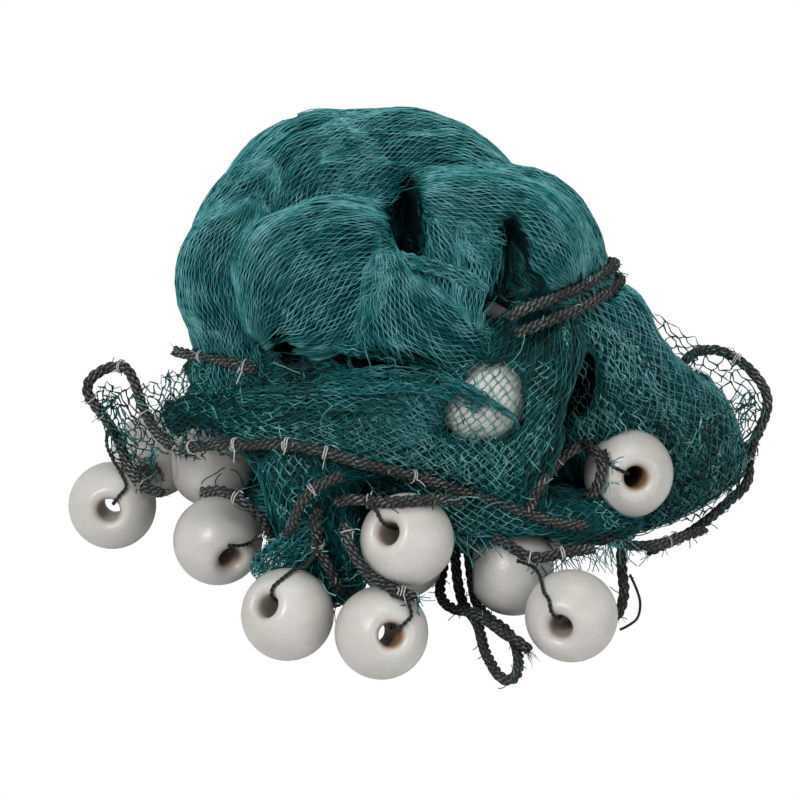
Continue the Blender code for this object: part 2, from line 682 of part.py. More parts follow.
def keep_largest(mesh):
    """Drop every loose scrap of a mesh but the largest."""
    bm = bmesh.new()
    bm.from_mesh(mesh)
    left = set(bm.verts)
    pieces = []
    while left:
        found = {left.pop()}
        edge_of_search = list(found)
        while edge_of_search:
            vert = edge_of_search.pop()
            for edge in vert.link_edges:
                other = edge.other_vert(vert)
                if other in left:
                    left.discard(other)
                    found.add(other)
                    edge_of_search.append(other)
        pieces.append(found)
    pieces.sort(key=len)
    for piece in pieces[:-1]:
        bmesh.ops.delete(bm, geom=list(piece), context="VERTS")
    bm.to_mesh(mesh)
    bm.free()


def make_netting(routes, tie_routes):
    """Make the netting: its folds grown together, its open ears, and the beds of what it holds."""
    bm = bmesh.new()
    for fold in FOLDS.values():
        add_fold(bm, fold)
    heap = add_guide("netting", mesh_from("netting", bm))
    skin = heap.modifiers.new("grow_together", "REMESH")
    skin.mode = "VOXEL"
    skin.voxel_size = NETTING_VOXEL * MM
    heap = add_guide("netting", evaluated(heap, "netting"))
    heap = combine(heap, make_tucks(), "DIFFERENCE")
    soft = heap.modifiers.new("soft_edges", "REMESH")
    soft.mode = "VOXEL"
    soft.voxel_size = NETTING_VOXEL * MM
    ease = heap.modifiers.new("ease", "SMOOTH")
    ease.iterations = EASE_ROUNDS
    heap = add_guide("netting", evaluated(heap, "netting"))
    thin = heap.modifiers.new("fewer_faces", "DECIMATE")
    thin.ratio = NETTING_TRIANGLES / (2 * len(heap.data.polygons))
    heap = add_guide("netting", evaluated(heap, "netting"))
    heap = combine(heap, [make_lattice(*ear) for ear in LATTICES.items()], "UNION")
    heap = combine(heap, make_beds(routes, tie_routes), "DIFFERENCE")
    tidy = heap.modifiers.new("no_slivers", "DECIMATE")
    tidy.ratio = NETTING_TRIANGLES_LEFT / count_triangles(heap.data)
    mesh = evaluated(heap, "netting")
    bm = bmesh.new()
    bm.from_mesh(mesh)
    cut_at_floor(bm)
    bm.to_mesh(mesh)
    bm.free()
    keep_largest(mesh)
    return add_object("netting", mesh, "twine")


def centre_on_floor():
    """Move the whole part so that the origin is on the floor under the middle of its box."""
    items = [item for item in bpy.context.scene.objects if not item.hide_render]
    corners = np.array([list(vert.co) for item in items for vert in item.data.vertices])
    low, high = corners.min(axis=0), corners.max(axis=0)
    shift = Matrix.Translation((-(low[0] + high[0]) / 2, -(low[1] + high[1]) / 2, -low[2]))
    for item in items:
        item.data.transform(shift)


def build():
    """Build the whole part."""
    clear_scene()
    for number, ring_float in enumerate(FLOATS, start=1):
        make_float(f"float_{number:02d}", ring_float)
    ropes = {**EDGE_ROPES, **TIE_ROPES, "loose_loop_rope": LOOSE_LOOP_ROPE,
             "loose_tail_rope": LOOSE_TAIL_ROPE}
    for name, route in ropes.items():
        make_rope(name, route)
    ties = {f"float_tie_{tie.float_number:02d}": tie_route(tie, ropes.values()) for tie in TIES}
    for name, route in ties.items():
        make_tie(name, route)
    make_netting(ropes.values(), ties.values())
    centre_on_floor()


build()
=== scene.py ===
"""Looks of a fishing net gathered in a heap: knotted twine, edge ropes, ring floats and tie cords.

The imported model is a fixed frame, and every visible piece is built round it.  The heap's folds are
wrapped in bars of real twine over a dark core, the open stretches of mesh are draped over the heap
and the floats, and the ropes are laid up from their strands.  Tables hold millimetres, with +X to
the right, +Y to the back and +Z up, before the shift that brings them into the model's frame.
"""

import logging
import math
from collections.abc import Iterable, Sequence
from dataclasses import dataclass, field, replace
from enum import Enum

import bmesh
import bpy
import numpy as np
from mathutils import Matrix, Vector
from mathutils.bvhtree import BVHTree


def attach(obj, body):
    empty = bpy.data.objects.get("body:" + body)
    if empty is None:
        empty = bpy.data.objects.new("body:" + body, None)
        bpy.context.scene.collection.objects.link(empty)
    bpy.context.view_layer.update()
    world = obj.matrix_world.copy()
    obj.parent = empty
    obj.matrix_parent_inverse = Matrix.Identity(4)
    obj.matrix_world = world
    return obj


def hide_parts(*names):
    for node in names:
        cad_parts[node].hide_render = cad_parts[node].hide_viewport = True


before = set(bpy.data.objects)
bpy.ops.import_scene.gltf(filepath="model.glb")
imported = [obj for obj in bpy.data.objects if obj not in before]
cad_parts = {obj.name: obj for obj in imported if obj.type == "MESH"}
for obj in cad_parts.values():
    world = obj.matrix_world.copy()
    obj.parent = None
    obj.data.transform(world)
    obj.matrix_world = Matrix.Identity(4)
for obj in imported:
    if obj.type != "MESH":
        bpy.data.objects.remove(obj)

Array = np.ndarray
Item = bpy.types.Object
Mesh = bpy.types.Mesh
Material = bpy.types.Material
Socket = bpy.types.NodeSocket
Triple = tuple[float, float, float]

LOG = logging.getLogger("fishing_net")

MM = 0.001
TABLE_SHIFT = np.array([-7.201, -17.87, 0.0])
SEED = 20


# ---------------------------------------------------------------------------------------------
# Tables
# ---------------------------------------------------------------------------------------------


class Slot(Enum):
    """The part's material slots."""

    TWINE = "twine"
    ROPE = "rope"
    PLASTIC = "float_plastic"


@dataclass(frozen=True)
class FloatShape:
    """The sizes that all the floats share.

    Attributes:
        radius: The ball's radius.
        bore: The bore's radius.
        lip: The radius that the bore's lip is rounded to.
        sink: How much is flattened where it stands.
    """

    radius: float = 38.5
    bore: float = 9.5
    lip: float = 7.0
    sink: float = 1.0

    def lip_ring(self) -> tuple[float, float]:
        """Work out the radius and height of the ring that the lip is rounded on."""
        ring = self.bore + self.lip
        return ring, math.sqrt((self.radius - self.lip) ** 2 - ring ** 2)


SHELL = FloatShape()


@dataclass(frozen=True)
class Lay:
    """How a rope or cord is laid up.

    Attributes:
        radius: Its radius.
        pitch: How far a strand goes in one turn.
        strands: How many strands it has.
        sides: How many sides a strand has.
        step: How far apart its rings are.
        fill: A strand's radius as a share of the rope's.
    """

    radius: float
    pitch: float
    strands: int
    sides: int
    step: float
    fill: float


ROPE = Lay(radius=5.0, pitch=25.0, strands=3, sides=7, step=2.6, fill=0.50)
CORD = Lay(radius=1.8, pitch=9.0, strands=2, sides=6, step=1.2, fill=0.52)


@dataclass(frozen=True)
class RingFloat:
    """A ring float.

    Attributes:
        centre: Its middle; a height of 0 stands it on the floor.
        bore: The way its bore points.
        stain: How brown its bore is, from 0 to 1.
    """

    centre: Triple
    bore: Triple
    stain: float = 0.35

    def middle(self) -> Array:
        """Work out the float's middle, in the tables' millimetres."""
        x, y, z = self.centre
        return np.array([x, y, z if z else SHELL.radius - SHELL.sink], dtype=float)

    def axis(self) -> Array:
        """Work out the way the bore points, as a unit vector."""
        return unit(np.array(self.bore, dtype=float))


@dataclass(frozen=True)
class Fold:
    """A bunch of gathered netting.

    Attributes:
        piece: The piece of netting that it belongs to.
        spine: Points along its middle.
        half_sizes: Its half width and half depth at each spine point.
        faces: The way that its half depth is measured.
        loose: Whether it is a bunch of threads that lies on the heap and isn't part of its core.
        twist: How far its threads wind round it, in radians.
        ragged: How much of its netting is missing, from 0 to 1.
        shade: How light its threads are beside the others'.
    """

    piece: str
    spine: tuple
    half_sizes: tuple
    faces: Triple
    loose: bool = False
    twist: float = 0.0
    ragged: float = 0.0
    shade: float = 1.0


@dataclass(frozen=True)
class Tuck:
    """A deep crease between folds.

    Attributes:
        centre: Its middle.
        half_sizes: Its half sizes across, into and up the heap.
        lean: How far it leans, in degrees.
        bend: How far its ends are bent to one side, as a share of its width.
    """

    centre: Triple
    half_sizes: Triple
    lean: float
    bend: float


@dataclass(frozen=True)
class OpenNet:
    """A stretch of open mesh.

    Attributes:
        piece: The piece of netting that it belongs to.
        rows: Rows of points over it.
        across: How many meshes it has along a row.
        down: How many meshes it has from the first row to the last.
        draped: Whether it lies on what is behind it.
        lift: How far off that it lies.
        slack: How unevenly its knots sit.
        twine: Its twine's radius.
        shade: How light its twine is, from 0 to 1.
        torn: The share of its knots that are missing.
        seen_from: Where it is seen from as it is laid, or None for the front.
    """

    piece: str
    rows: tuple
    across: int
    down: int
    draped: bool = True
    lift: float = 1.6
    slack: float = 1.2
    twine: float = 0.62
    shade: float = 0.85
    torn: float = 0.0
    seen_from: Triple | None = None


@dataclass(frozen=True)
class Layer:
    """A layer of twine round the folds.

    Attributes:
        height: How far it lies off the core.
        column: How far apart its columns of knots are.
        radius: Its twine's radius.
        shade: How light its twine is, from 0 to 1; lower for the inner layers, as painted shade under the
            outer ones.
        seed: What its unevenness starts from.
        row: How far apart its rows are.
    """

    height: float
    column: float
    radius: float
    shade: float
    seed: int
    row: float = 5.4


@dataclass(frozen=True)
class Tie:
    """A float's tie cord.

    Attributes:
        number: The float's number.
        route: The cord's route from its rope to the lip of the bore.
    """

    number: int
    route: tuple


@dataclass(frozen=True)
class Fringe:
    """Cut ends of twine that hang in a row.

    Attributes:
        start: Where the row starts.
        end: Where it ends.
        count: How many there are.
        way: The way that they hang.
        longest: How long they are at most.
    """

    start: Triple
    end: Triple
    count: int
    way: Triple = (0.25, -0.45, -1.0)
    longest: float = 30.0


# Inner layers have lower shade values: painted shade under the outer twine.
FRONT = (
    Layer(height=3.2, column=2.1, radius=0.47, shade=0.80, seed=1),
    Layer(height=1.8, column=2.1, radius=0.52, shade=0.46, seed=2),
    Layer(height=0.6, column=2.8, radius=0.60, shade=0.26, seed=3),
)
MESH = (
    Layer(height=3.6, column=3.6, radius=0.46, shade=0.80, seed=6, row=6.4),
    Layer(height=2.2, column=3.2, radius=0.52, shade=0.38, seed=7, row=6.4),
    Layer(height=0.8, column=3.0, radius=0.58, shade=0.18, seed=8, row=8.0),
)
BACK = (
    Layer(height=3.0, column=2.9, radius=0.62, shade=0.7, seed=4, row=11.0),
    Layer(height=1.2, column=3.3, radius=0.68, shade=0.42, seed=5, row=11.0),
)

FLOATS: dict[int, RingFloat] = {
    1: RingFloat((-266, 18, 0), (0.0, -0.90, 0.44), 0.5),
    2: RingFloat((-236, 98, 0), (0.0, 1.0, 0.0)),
    3: RingFloat((-178, 41, 66), (-0.90, -0.20, 0.10)),
    4: RingFloat((-170, -36, 0), (0.40, -0.91, 0.04), 0.5),
    5: RingFloat((-106, -142, 0), (-0.50, -0.53, 0.68), 0.25),
    6: RingFloat((-28, -167, 0), (0.25, -0.81, 0.53), 1.0),
    7: RingFloat((-7, -128, 103), (-0.50, -0.59, 0.63), 0.4),
    8: RingFloat((-12, -56, 0), (1.0, 0.0, 0.0)),
    9: RingFloat((56, -47, 190), (1.0, 0.0, 0.0)),
    10: RingFloat((83, -80, 0), (1.0, 0.0, 0.0)),
    11: RingFloat((118, -10, 50), (1.0, 0.0, 0.0)),
    12: RingFloat((129, -144, 0), (-0.35, -0.89, 0.29), 0.35),
    13: RingFloat((182, -25, 100), (0.12, -0.89, 0.44), 0.9),
    14: RingFloat((66, 14, 240), (1.0, 0.0, 0.0)),
}

FOLDS: dict[str, Fold] = {
    "base": Fold(
        "net_inner",
        ((-162, 74, 58), (-60, 50, 66), (60, 45, 66), (140, 60, 55)),
        ((56, 60), (96, 70), (98, 70), (70, 56)), (0, 0, 1)),
    "middle": Fold(
        "net_inner",
        ((-128, 72, 190), (-50, 70, 205), (50, 65, 200), (105, 62, 180)),
        ((60, 70), (88, 84), (84, 82), (60, 66)), (0, 0, 1)),
    "crown_left": Fold(
        "net_crown",
        ((-120, 42, 246), (-112, 56, 280), (-88, 80, 312), (-50, 90, 320)),
        ((58, 40), (70, 46), (78, 48), (72, 48)), (-0.3, -0.5, 0.8), twist=0.5),
    "crown_right": Fold(
        "net_crown",
        ((-60, 82, 318), (-16, 92, 311), (24, 90, 300), (50, 78, 281)),
        ((66, 48), (78, 50), (74, 50), (56, 42)), (0.1, -0.5, 0.86), twist=1.5),
    "left_front": Fold(
        "net_left",
        ((-18, 4, 300), (-52, -10, 294), (-88, -24, 278), (-106, -30, 258)),
        ((34, 30), (58, 42), (70, 48), (50, 40)), (0, -0.85, 0.53)),
    "left_shoulder": Fold(
        "net_crown",
        ((-158, 50, 266), (-148, 56, 300), (-126, 66, 322)),
        ((32, 32), (35, 33), (34, 30)), (-0.5, -0.6, 0.6), twist=0.4),
    "left_side": Fold(
        "net_left",
        ((-144, 26, 298), (-156, 8, 270), (-152, -2, 236)),
        ((42, 40), (46, 44), (36, 34)), (-0.4, -0.8, 0.4)),
    "left_foot": Fold(
        "net_left",
        ((-150, 4, 236), (-146, 0, 214), (-140, 0, 190)),
        ((40, 34), (42, 36), (46, 40)), (-0.4, -0.8, 0.4)),
    "right_front": Fold(
        "net_right",
        ((6, 36, 322), (40, 26, 316), (80, 14, 300), (110, 2, 280)),
        ((30, 30), (46, 38), (54, 44), (44, 38)), (0.2, -0.8, 0.5)),
    "right_side": Fold(
        "net_right",
        ((74, 74, 306), (102, 62, 290), (116, 44, 266), (120, 30, 248)),
        ((38, 40), (44, 46), (46, 46), (40, 36)), (0.8, -0.4, 0.4)),
    "tuck_left": Fold(
        "net_right",
        ((6, 2, 322), (18, -18, 304), (24, -30, 280)),
        ((16, 16), (20, 20), (18, 18)), (0, -0.85, 0.53)),
    "tuck_right": Fold(
        "net_right",
        ((44, -2, 312), (50, -22, 290), (44, -38, 266)),
        ((20, 18), (24, 20), (20, 18)), (0, -0.85, 0.53)),
    "middle_drape": Fold(
        "net_middle",
        ((-30, -14, 300), (-16, -40, 262), (4, -52, 232), (30, -48, 206)),
        ((26, 24), (46, 32), (60, 34), (64, 30)), (0, -0.85, 0.53)),
    "apron": Fold(
        "net_middle",
        ((102, -16, 250), (82, -38, 218), (54, -52, 184), (22, -62, 146), (14, -62, 116)),
        ((42, 22), (62, 26), (80, 28), (98, 26), (104, 20)), (0, -0.85, 0.53), ragged=0.15,
        shade=0.36),
    "left_bunch": Fold(
        "net_middle",
        ((10, -42, 196), (-60, -50, 190), (-126, -36, 180), (-180, -12, 164), (-214, 8, 146)),
        ((34, 28), (40, 30), (40, 28), (34, 20), (26, 8)), (0, -0.85, 0.53), ragged=0.3,
        shade=0.32),
    "left_apron": Fold(
        "net_middle",
        ((-30, -62, 168), (-84, -66, 160), (-130, -58, 152)),
        ((36, 24), (38, 24), (30, 20)), (0, -0.85, 0.53), ragged=0.2, shade=0.32),
    "front_low": Fold(
        "net_middle",
        ((0, -66, 112), (48, -78, 99), (98, -80, 89), (146, -58, 76), (186, -34, 64)),
        ((24, 18), (27, 19), (28, 20), (26, 20), (24, 18)), (0, -0.85, 0.53), ragged=0.5,
        shade=0.5),
    "front_bunch": Fold(
        "net_middle",
        ((-94, -76, 150), (-86, -90, 112), (-76, -92, 70), (-70, -88, 30)),
        ((34, 20), (38, 22), (34, 24), (34, 28)), (0, -0.9, 0.4), ragged=0.4, shade=0.6),
    "shoulder": Fold(
        "net_skirt",
        ((92, 30, 282), (118, 14, 254), (146, 10, 214), (182, 16, 150), (208, 28, 84), (220, 34, 24)),
        ((44, 32), (42, 32), (58, 32), (72, 30), (82, 26), (88, 22)), (0.2, -0.85, 0.5),
        ragged=0.2, shade=1.4),
    "back_left": Fold(
        "net_back",
        ((-100, 124, 262), (-122, 158, 180), (-126, 176, 80), (-124, 178, 12)),
        ((50, 38), (54, 42), (52, 40), (60, 38)), (-0.4, 0.9, 0.1)),
    "back_middle": Fold(
        "net_back",
        ((-22, 146, 288), (-26, 180, 200), (-18, 196, 90), (-10, 198, 12)),
        ((58, 38), (62, 42), (58, 40), (70, 40)), (0, 1, 0.1)),
    "back_right": Fold(
        "net_back",
        ((76, 118, 262), (98, 154, 170), (116, 172, 80), (120, 174, 12)),
        ((48, 36), (52, 40), (54, 38), (64, 38)), (0.4, 0.9, 0.1)),
    "crown_back": Fold(
        "net_back",
        ((-76, 146, 312), (-94, 136, 330), (-112, 121, 337), (-130, 106, 333), (-150, 88, 316)),
        ((14, 10), (26, 16), (31, 19), (26, 16), (14, 10)), (-0.49, 0.39, 0.72)),
    "band_upper": Fold(
        "net_bands",
        ((-62, -84, 264), (-37, -84, 260), (-9, -84, 254), (19, -84, 244)),
        ((7, 6), (10, 9), (9, 8), (7, 6)), (0, -0.85, 0.53), True),
    "band_mid": Fold(
        "net_bands",
        ((-75, -96, 233), (-45, -96, 236), (-13, -96, 239), (19, -96, 233), (52, -96, 216),
         (80, -96, 193)),
        ((8, 6), (11, 8), (11, 8), (10, 7), (9, 6), (8, 5)), (0, -0.85, 0.53), True),
    "band_low": Fold(
        "net_bands",
        ((-142, -86, 214), (-102, -86, 216), (-57, -86, 214), (-13, -86, 208)),
        ((7, 5), (11, 8), (11, 8), (8, 6)), (0, -0.85, 0.53), True, shade=0.7),
    "band_cross": Fold(
        "net_bands",
        ((-14, -70, 335), (12, -70, 326), (38, -70, 317), (56, -70, 306)),
        ((5, 4), (7, 6), (7, 6), (4, 3)), (0, -0.85, 0.53), True),
    "band_seam": Fold(
        "net_bands",
        ((-84, -84, 84), (-104, -74, 56), (-122, -62, 34), (-134, -50, 14)),
        ((16, 8), (18, 9), (16, 9), (12, 8)), (0, -0.9, 0.4), True),
}

TUCKS: tuple[Tuck, ...] = (
    Tuck((-7, 4, 322), (15, 60, 50), -8, 0.5),
    Tuck((80, -22, 316), (11, 36, 33), -10, -0.5),
    Tuck((82, -32, 288), (24, 30, 15), 8, 0.4),
    Tuck((64, -30, 264), (17, 38, 10), 12, 0.4),
    Tuck((-22, -62, 232), (54, 40, 12), 6, 0.6),
    Tuck((-96, -60, 222), (22, 26, 6), -4, -0.5),
    Tuck((-206, 2, 172), (17, 60, 14), 0, 0.0),
    Tuck((134, -34, 184), (11, 44, 46), 20, -0.5),
    Tuck((-112, -22, 250), (12, 40, 50), -14, 0.6),
    Tuck((228, 16, 210), (66, 80, 15), 50, 0.0),
    Tuck((261, 20, 84), (8, 80, 5), 30, 0.0),
    Tuck((249, 20, 60), (7, 80, 4), -20, 0.0),
    Tuck((273, 20, 99), (10, 80, 6), 10, 0.0),
    Tuck((96, -100, 66), (46, 40, 17), 0, 0.0),
    Tuck((-178, -14, 129), (31, 52, 11), 0, 0.0),
    Tuck((-146, 0, 86), (14, 40, 34), 0, 0.0),
)
TUCK_PITCH = 32.0

OPEN_NETS: tuple[OpenNet, ...] = (
    OpenNet(
        "net_apron",
        (((-29, -92, 236), (11, -92, 246), (51, -92, 251), (91, -92, 253), (139, -92, 261)),
         ((-39, -98, 219), (3, -98, 214), (44, -98, 214), (84, -98, 219), (121, -98, 231)),
         ((-48, -100, 201), (-9, -100, 190), (32, -100, 182), (72, -100, 182), (111, -100, 201)),
         ((-57, -104, 185), (-17, -104, 167), (24, -104, 152), (61, -104, 144), (98, -104, 150))),
        across=18, down=11, lift=2.6, slack=1.0, twine=0.48, shade=0.85),
    OpenNet(
        "net_apron",
        (((-44, -98, 206), (-4, -98, 196), (36, -98, 190), (76, -98, 192), (112, -98, 206)),
         ((-50, -100, 170), (-8, -102, 160), (34, -104, 152), (74, -104, 152), (112, -100, 164)),
         ((-40, -100, 136), (0, -104, 126), (40, -106, 118), (80, -104, 118), (124, -100, 128)),
         ((-16, -100, 112), (16, -104, 102), (50, -106, 94), (88, -106, 92), (132, -100, 98))),
        across=14, down=11, lift=4.0, slack=1.1, twine=0.52, shade=0.85, torn=0.02),
    OpenNet(
        "net_belly",
        (((-192, -60, 232), (-130, -76, 234), (-70, -80, 232), (-10, -80, 226), (20, -80, 220)),
         ((-200, -56, 206), (-136, -76, 204), (-76, -80, 200), (-14, -84, 196), (18, -84, 190)),
         ((-206, -50, 184), (-140, -72, 180), (-80, -84, 176), (-16, -90, 172), (16, -90, 166)),
         ((-208, -40, 166), (-140, -70, 166), (-80, -84, 160), (-18, -90, 152), (10, -90, 148))),
        across=19, down=7, lift=3.2, slack=1.5, twine=0.5, shade=0.5, torn=0.06),
    OpenNet(
        "net_belly",
        (((-180, -60, 240), (-120, -76, 226), (-60, -80, 240), (0, -80, 230)),
         ((-190, -56, 200), (-130, -76, 196), (-66, -80, 190), (0, -84, 196)),
         ((-196, -50, 172), (-130, -72, 160), (-66, -84, 164), (10, -90, 150))),
        across=13, down=8, lift=4.6, slack=2.2, shade=0.5, torn=0.15),
    OpenNet(
        "net_belly",
        (((-150, -90, 196), (-90, -96, 198), (-30, -98, 194), (30, -98, 186), (70, -98, 182)),
         ((-146, -92, 182), (-88, -98, 182), (-28, -100, 176), (34, -100, 164), (74, -100, 156)),
         ((-136, -92, 170), (-84, -98, 170), (-26, -100, 160), (38, -100, 140), (78, -100, 128))),
        across=17, down=5, lift=5.5, slack=1.2, twine=0.5, shade=0.74, torn=0.02),
    OpenNet(
        "net_belly",
        (((-134, -80, 158), (-104, -90, 160), (-70, -96, 152), (-30, -96, 140)),
         ((-124, -84, 126), (-98, -96, 126), (-68, -100, 122), (-34, -100, 112)),
         ((-116, -84, 94), (-94, -96, 92), (-68, -100, 88), (-44, -100, 82)),
         ((-108, -84, 60), (-90, -96, 56), (-68, -100, 50), (-50, -100, 46))),
        across=8, down=9, lift=3.0, slack=2.6, shade=0.8, torn=0.12),
    OpenNet(
        "net_skirt_open",
        (((118, -30, 256), (148, -20, 246), (182, 0, 224)),
         ((124, -40, 206), (166, -30, 194), (214, -10, 172)),
         ((136, -50, 156), (188, -40, 142), (246, -20, 120)),
         ((150, -60, 104), (204, -50, 92), (262, -30, 80)),
         ((160, -60, 66), (214, -50, 54), (262, -30, 44))),
        across=11, down=20, lift=2.8, slack=2.0, shade=1.0, torn=0.07),
    OpenNet(
        "net_skirt_open",
        (((132, -30, 252), (160, -20, 236), (190, 0, 214)),
         ((150, -40, 190), (186, -30, 176), (226, -10, 158)),
         ((170, -50, 140), (212, -40, 126), (262, -16, 104)),
         ((172, -60, 84), (222, -46, 72), (266, -24, 62))),
        across=8, down=15, lift=4.2, slack=3.0, shade=0.10, torn=0.30),
    OpenNet(
        "net_skirt_open",
        (((206, -8, 136), (232, -2, 132), (262, 20, 126), (300, 84, 118)),
         ((208, -12, 108), (238, -6, 104), (270, 14, 98), (308, 78, 96)),
         ((212, -14, 80), (240, -10, 74), (272, 10, 68), (300, 66, 68)),
         ((214, -16, 52), (240, -14, 46), (266, 2, 42), (292, 48, 40))),
        across=10, down=9, draped=False, slack=2.6, shade=0.12, torn=0.06),
    OpenNet(
        "net_skirt_open",
        (((216, 0, 140), (250, 16, 134), (296, 80, 122)),
         ((220, -4, 96), (256, 10, 90), (302, 76, 90)),
         ((222, -6, 54), (252, 4, 48), (290, 46, 42))),
        across=8, down=8, draped=False, slack=3.2, shade=0.7, torn=0.1),
    OpenNet(
        "net_skirt",
        (((250, -2, 232), (250, 28, 236), (250, 58, 232)),
         ((256, -2, 180), (256, 28, 182), (256, 60, 180)),
         ((258, 0, 126), (258, 28, 124), (258, 60, 126))),
        across=10, down=13, lift=2.6, slack=1.0, twine=0.5, shade=0.75, seen_from=(1500, 20, 420)),
    OpenNet(
        "net_skirt",
        (((250, 0, 228), (250, 28, 232), (250, 56, 228)),
         ((258, 2, 128), (258, 28, 130), (258, 56, 128))),
        across=9, down=11, lift=1.2, slack=1.4, twine=0.5, shade=0.4, seen_from=(1500, 20, 420)),
    OpenNet(
        "net_ears",
        (((-281, 46, 137), (-266, 46, 146), (-249, 46, 146), (-240, 46, 140)),
         ((-277, 38, 122), (-263, 38, 126), (-248, 38, 122), (-236, 38, 116)),
         ((-271, 30, 102), (-258, 30, 104), (-243, 30, 98), (-229, 30, 98)),
         ((-264, 20, 86), (-253, 20, 84), (-238, 20, 80), (-224, 20, 82)),
         ((-250, 10, 72), (-243, 10, 67), (-229, 10, 65), (-217, 10, 72))),
        across=5, down=9, draped=False, slack=2.6, shade=0.1),
    OpenNet(
        "net_ears",
        (((-270, 40, 142), (-256, 40, 140), (-240, 34, 134)),
         ((-262, 28, 108), (-248, 26, 104), (-234, 20, 104)),
         ((-250, 8, 74), (-238, 4, 72), (-222, 0, 78))),
        across=4, down=7, draped=False, slack=3.4, shade=0.45, torn=0.1),
    OpenNet(
        "net_ears",
        (((-239, 46, 142), (-220, 46, 162), (-201, 46, 164), (-172, 40, 168), (-142, 34, 170)),
         ((-231, 36, 133), (-213, 36, 144), (-194, 34, 146), (-168, 28, 148), (-138, 22, 148)),
         ((-222, 22, 120), (-208, 22, 128), (-189, 20, 134), (-164, 12, 136), (-135, 4, 134)),
         ((-213, 4, 109), (-199, 4, 115), (-181, 2, 121), (-159, -2, 125), (-131, -8, 123))),
        across=10, down=6, draped=False, slack=2.4, shade=0.5),
    OpenNet(
        "net_ears",
        (((-232, 20, 128), (-208, 10, 148), (-182, 0, 160), (-156, -20, 170)),
         ((-222, 6, 112), (-200, -4, 128), (-178, -14, 140), (-150, -34, 150)),
         ((-210, -10, 104), (-192, -20, 114), (-172, -30, 122), (-144, -44, 130))),
        across=9, down=6, draped=False, slack=3.0, shade=0.15, torn=0.12),
    OpenNet(
        "net_ears",
        (((161, 100, 217), (194, 100, 199), (226, 100, 176), (259, 100, 154)),
         ((164, 84, 208), (196, 84, 190), (225, 84, 169), (251, 84, 151)),
         ((165, 60, 200), (195, 60, 182), (223, 60, 166), (247, 60, 153))),
        across=7, down=3, draped=False, slack=1.8, shade=0.2),
    OpenNet(
        "net_ears",
        (((229, 108, 141), (247, 108, 141), (264, 108, 145), (286, 108, 141), (301, 104, 126)),
         ((233, 96, 121), (252, 96, 121), (272, 96, 123), (289, 96, 121), (308, 92, 111)),
         ((240, 84, 97), (258, 84, 97), (276, 84, 97), (294, 82, 95), (310, 80, 91)),
         ((245, 70, 72), (261, 70, 72), (276, 70, 72), (292, 70, 68), (304, 68, 66)),
         ((245, 54, 49), (261, 54, 49), (274, 54, 47), (287, 54, 42), (296, 52, 42))),
        across=6, down=8, draped=False, slack=2.2, shade=0.15),
)

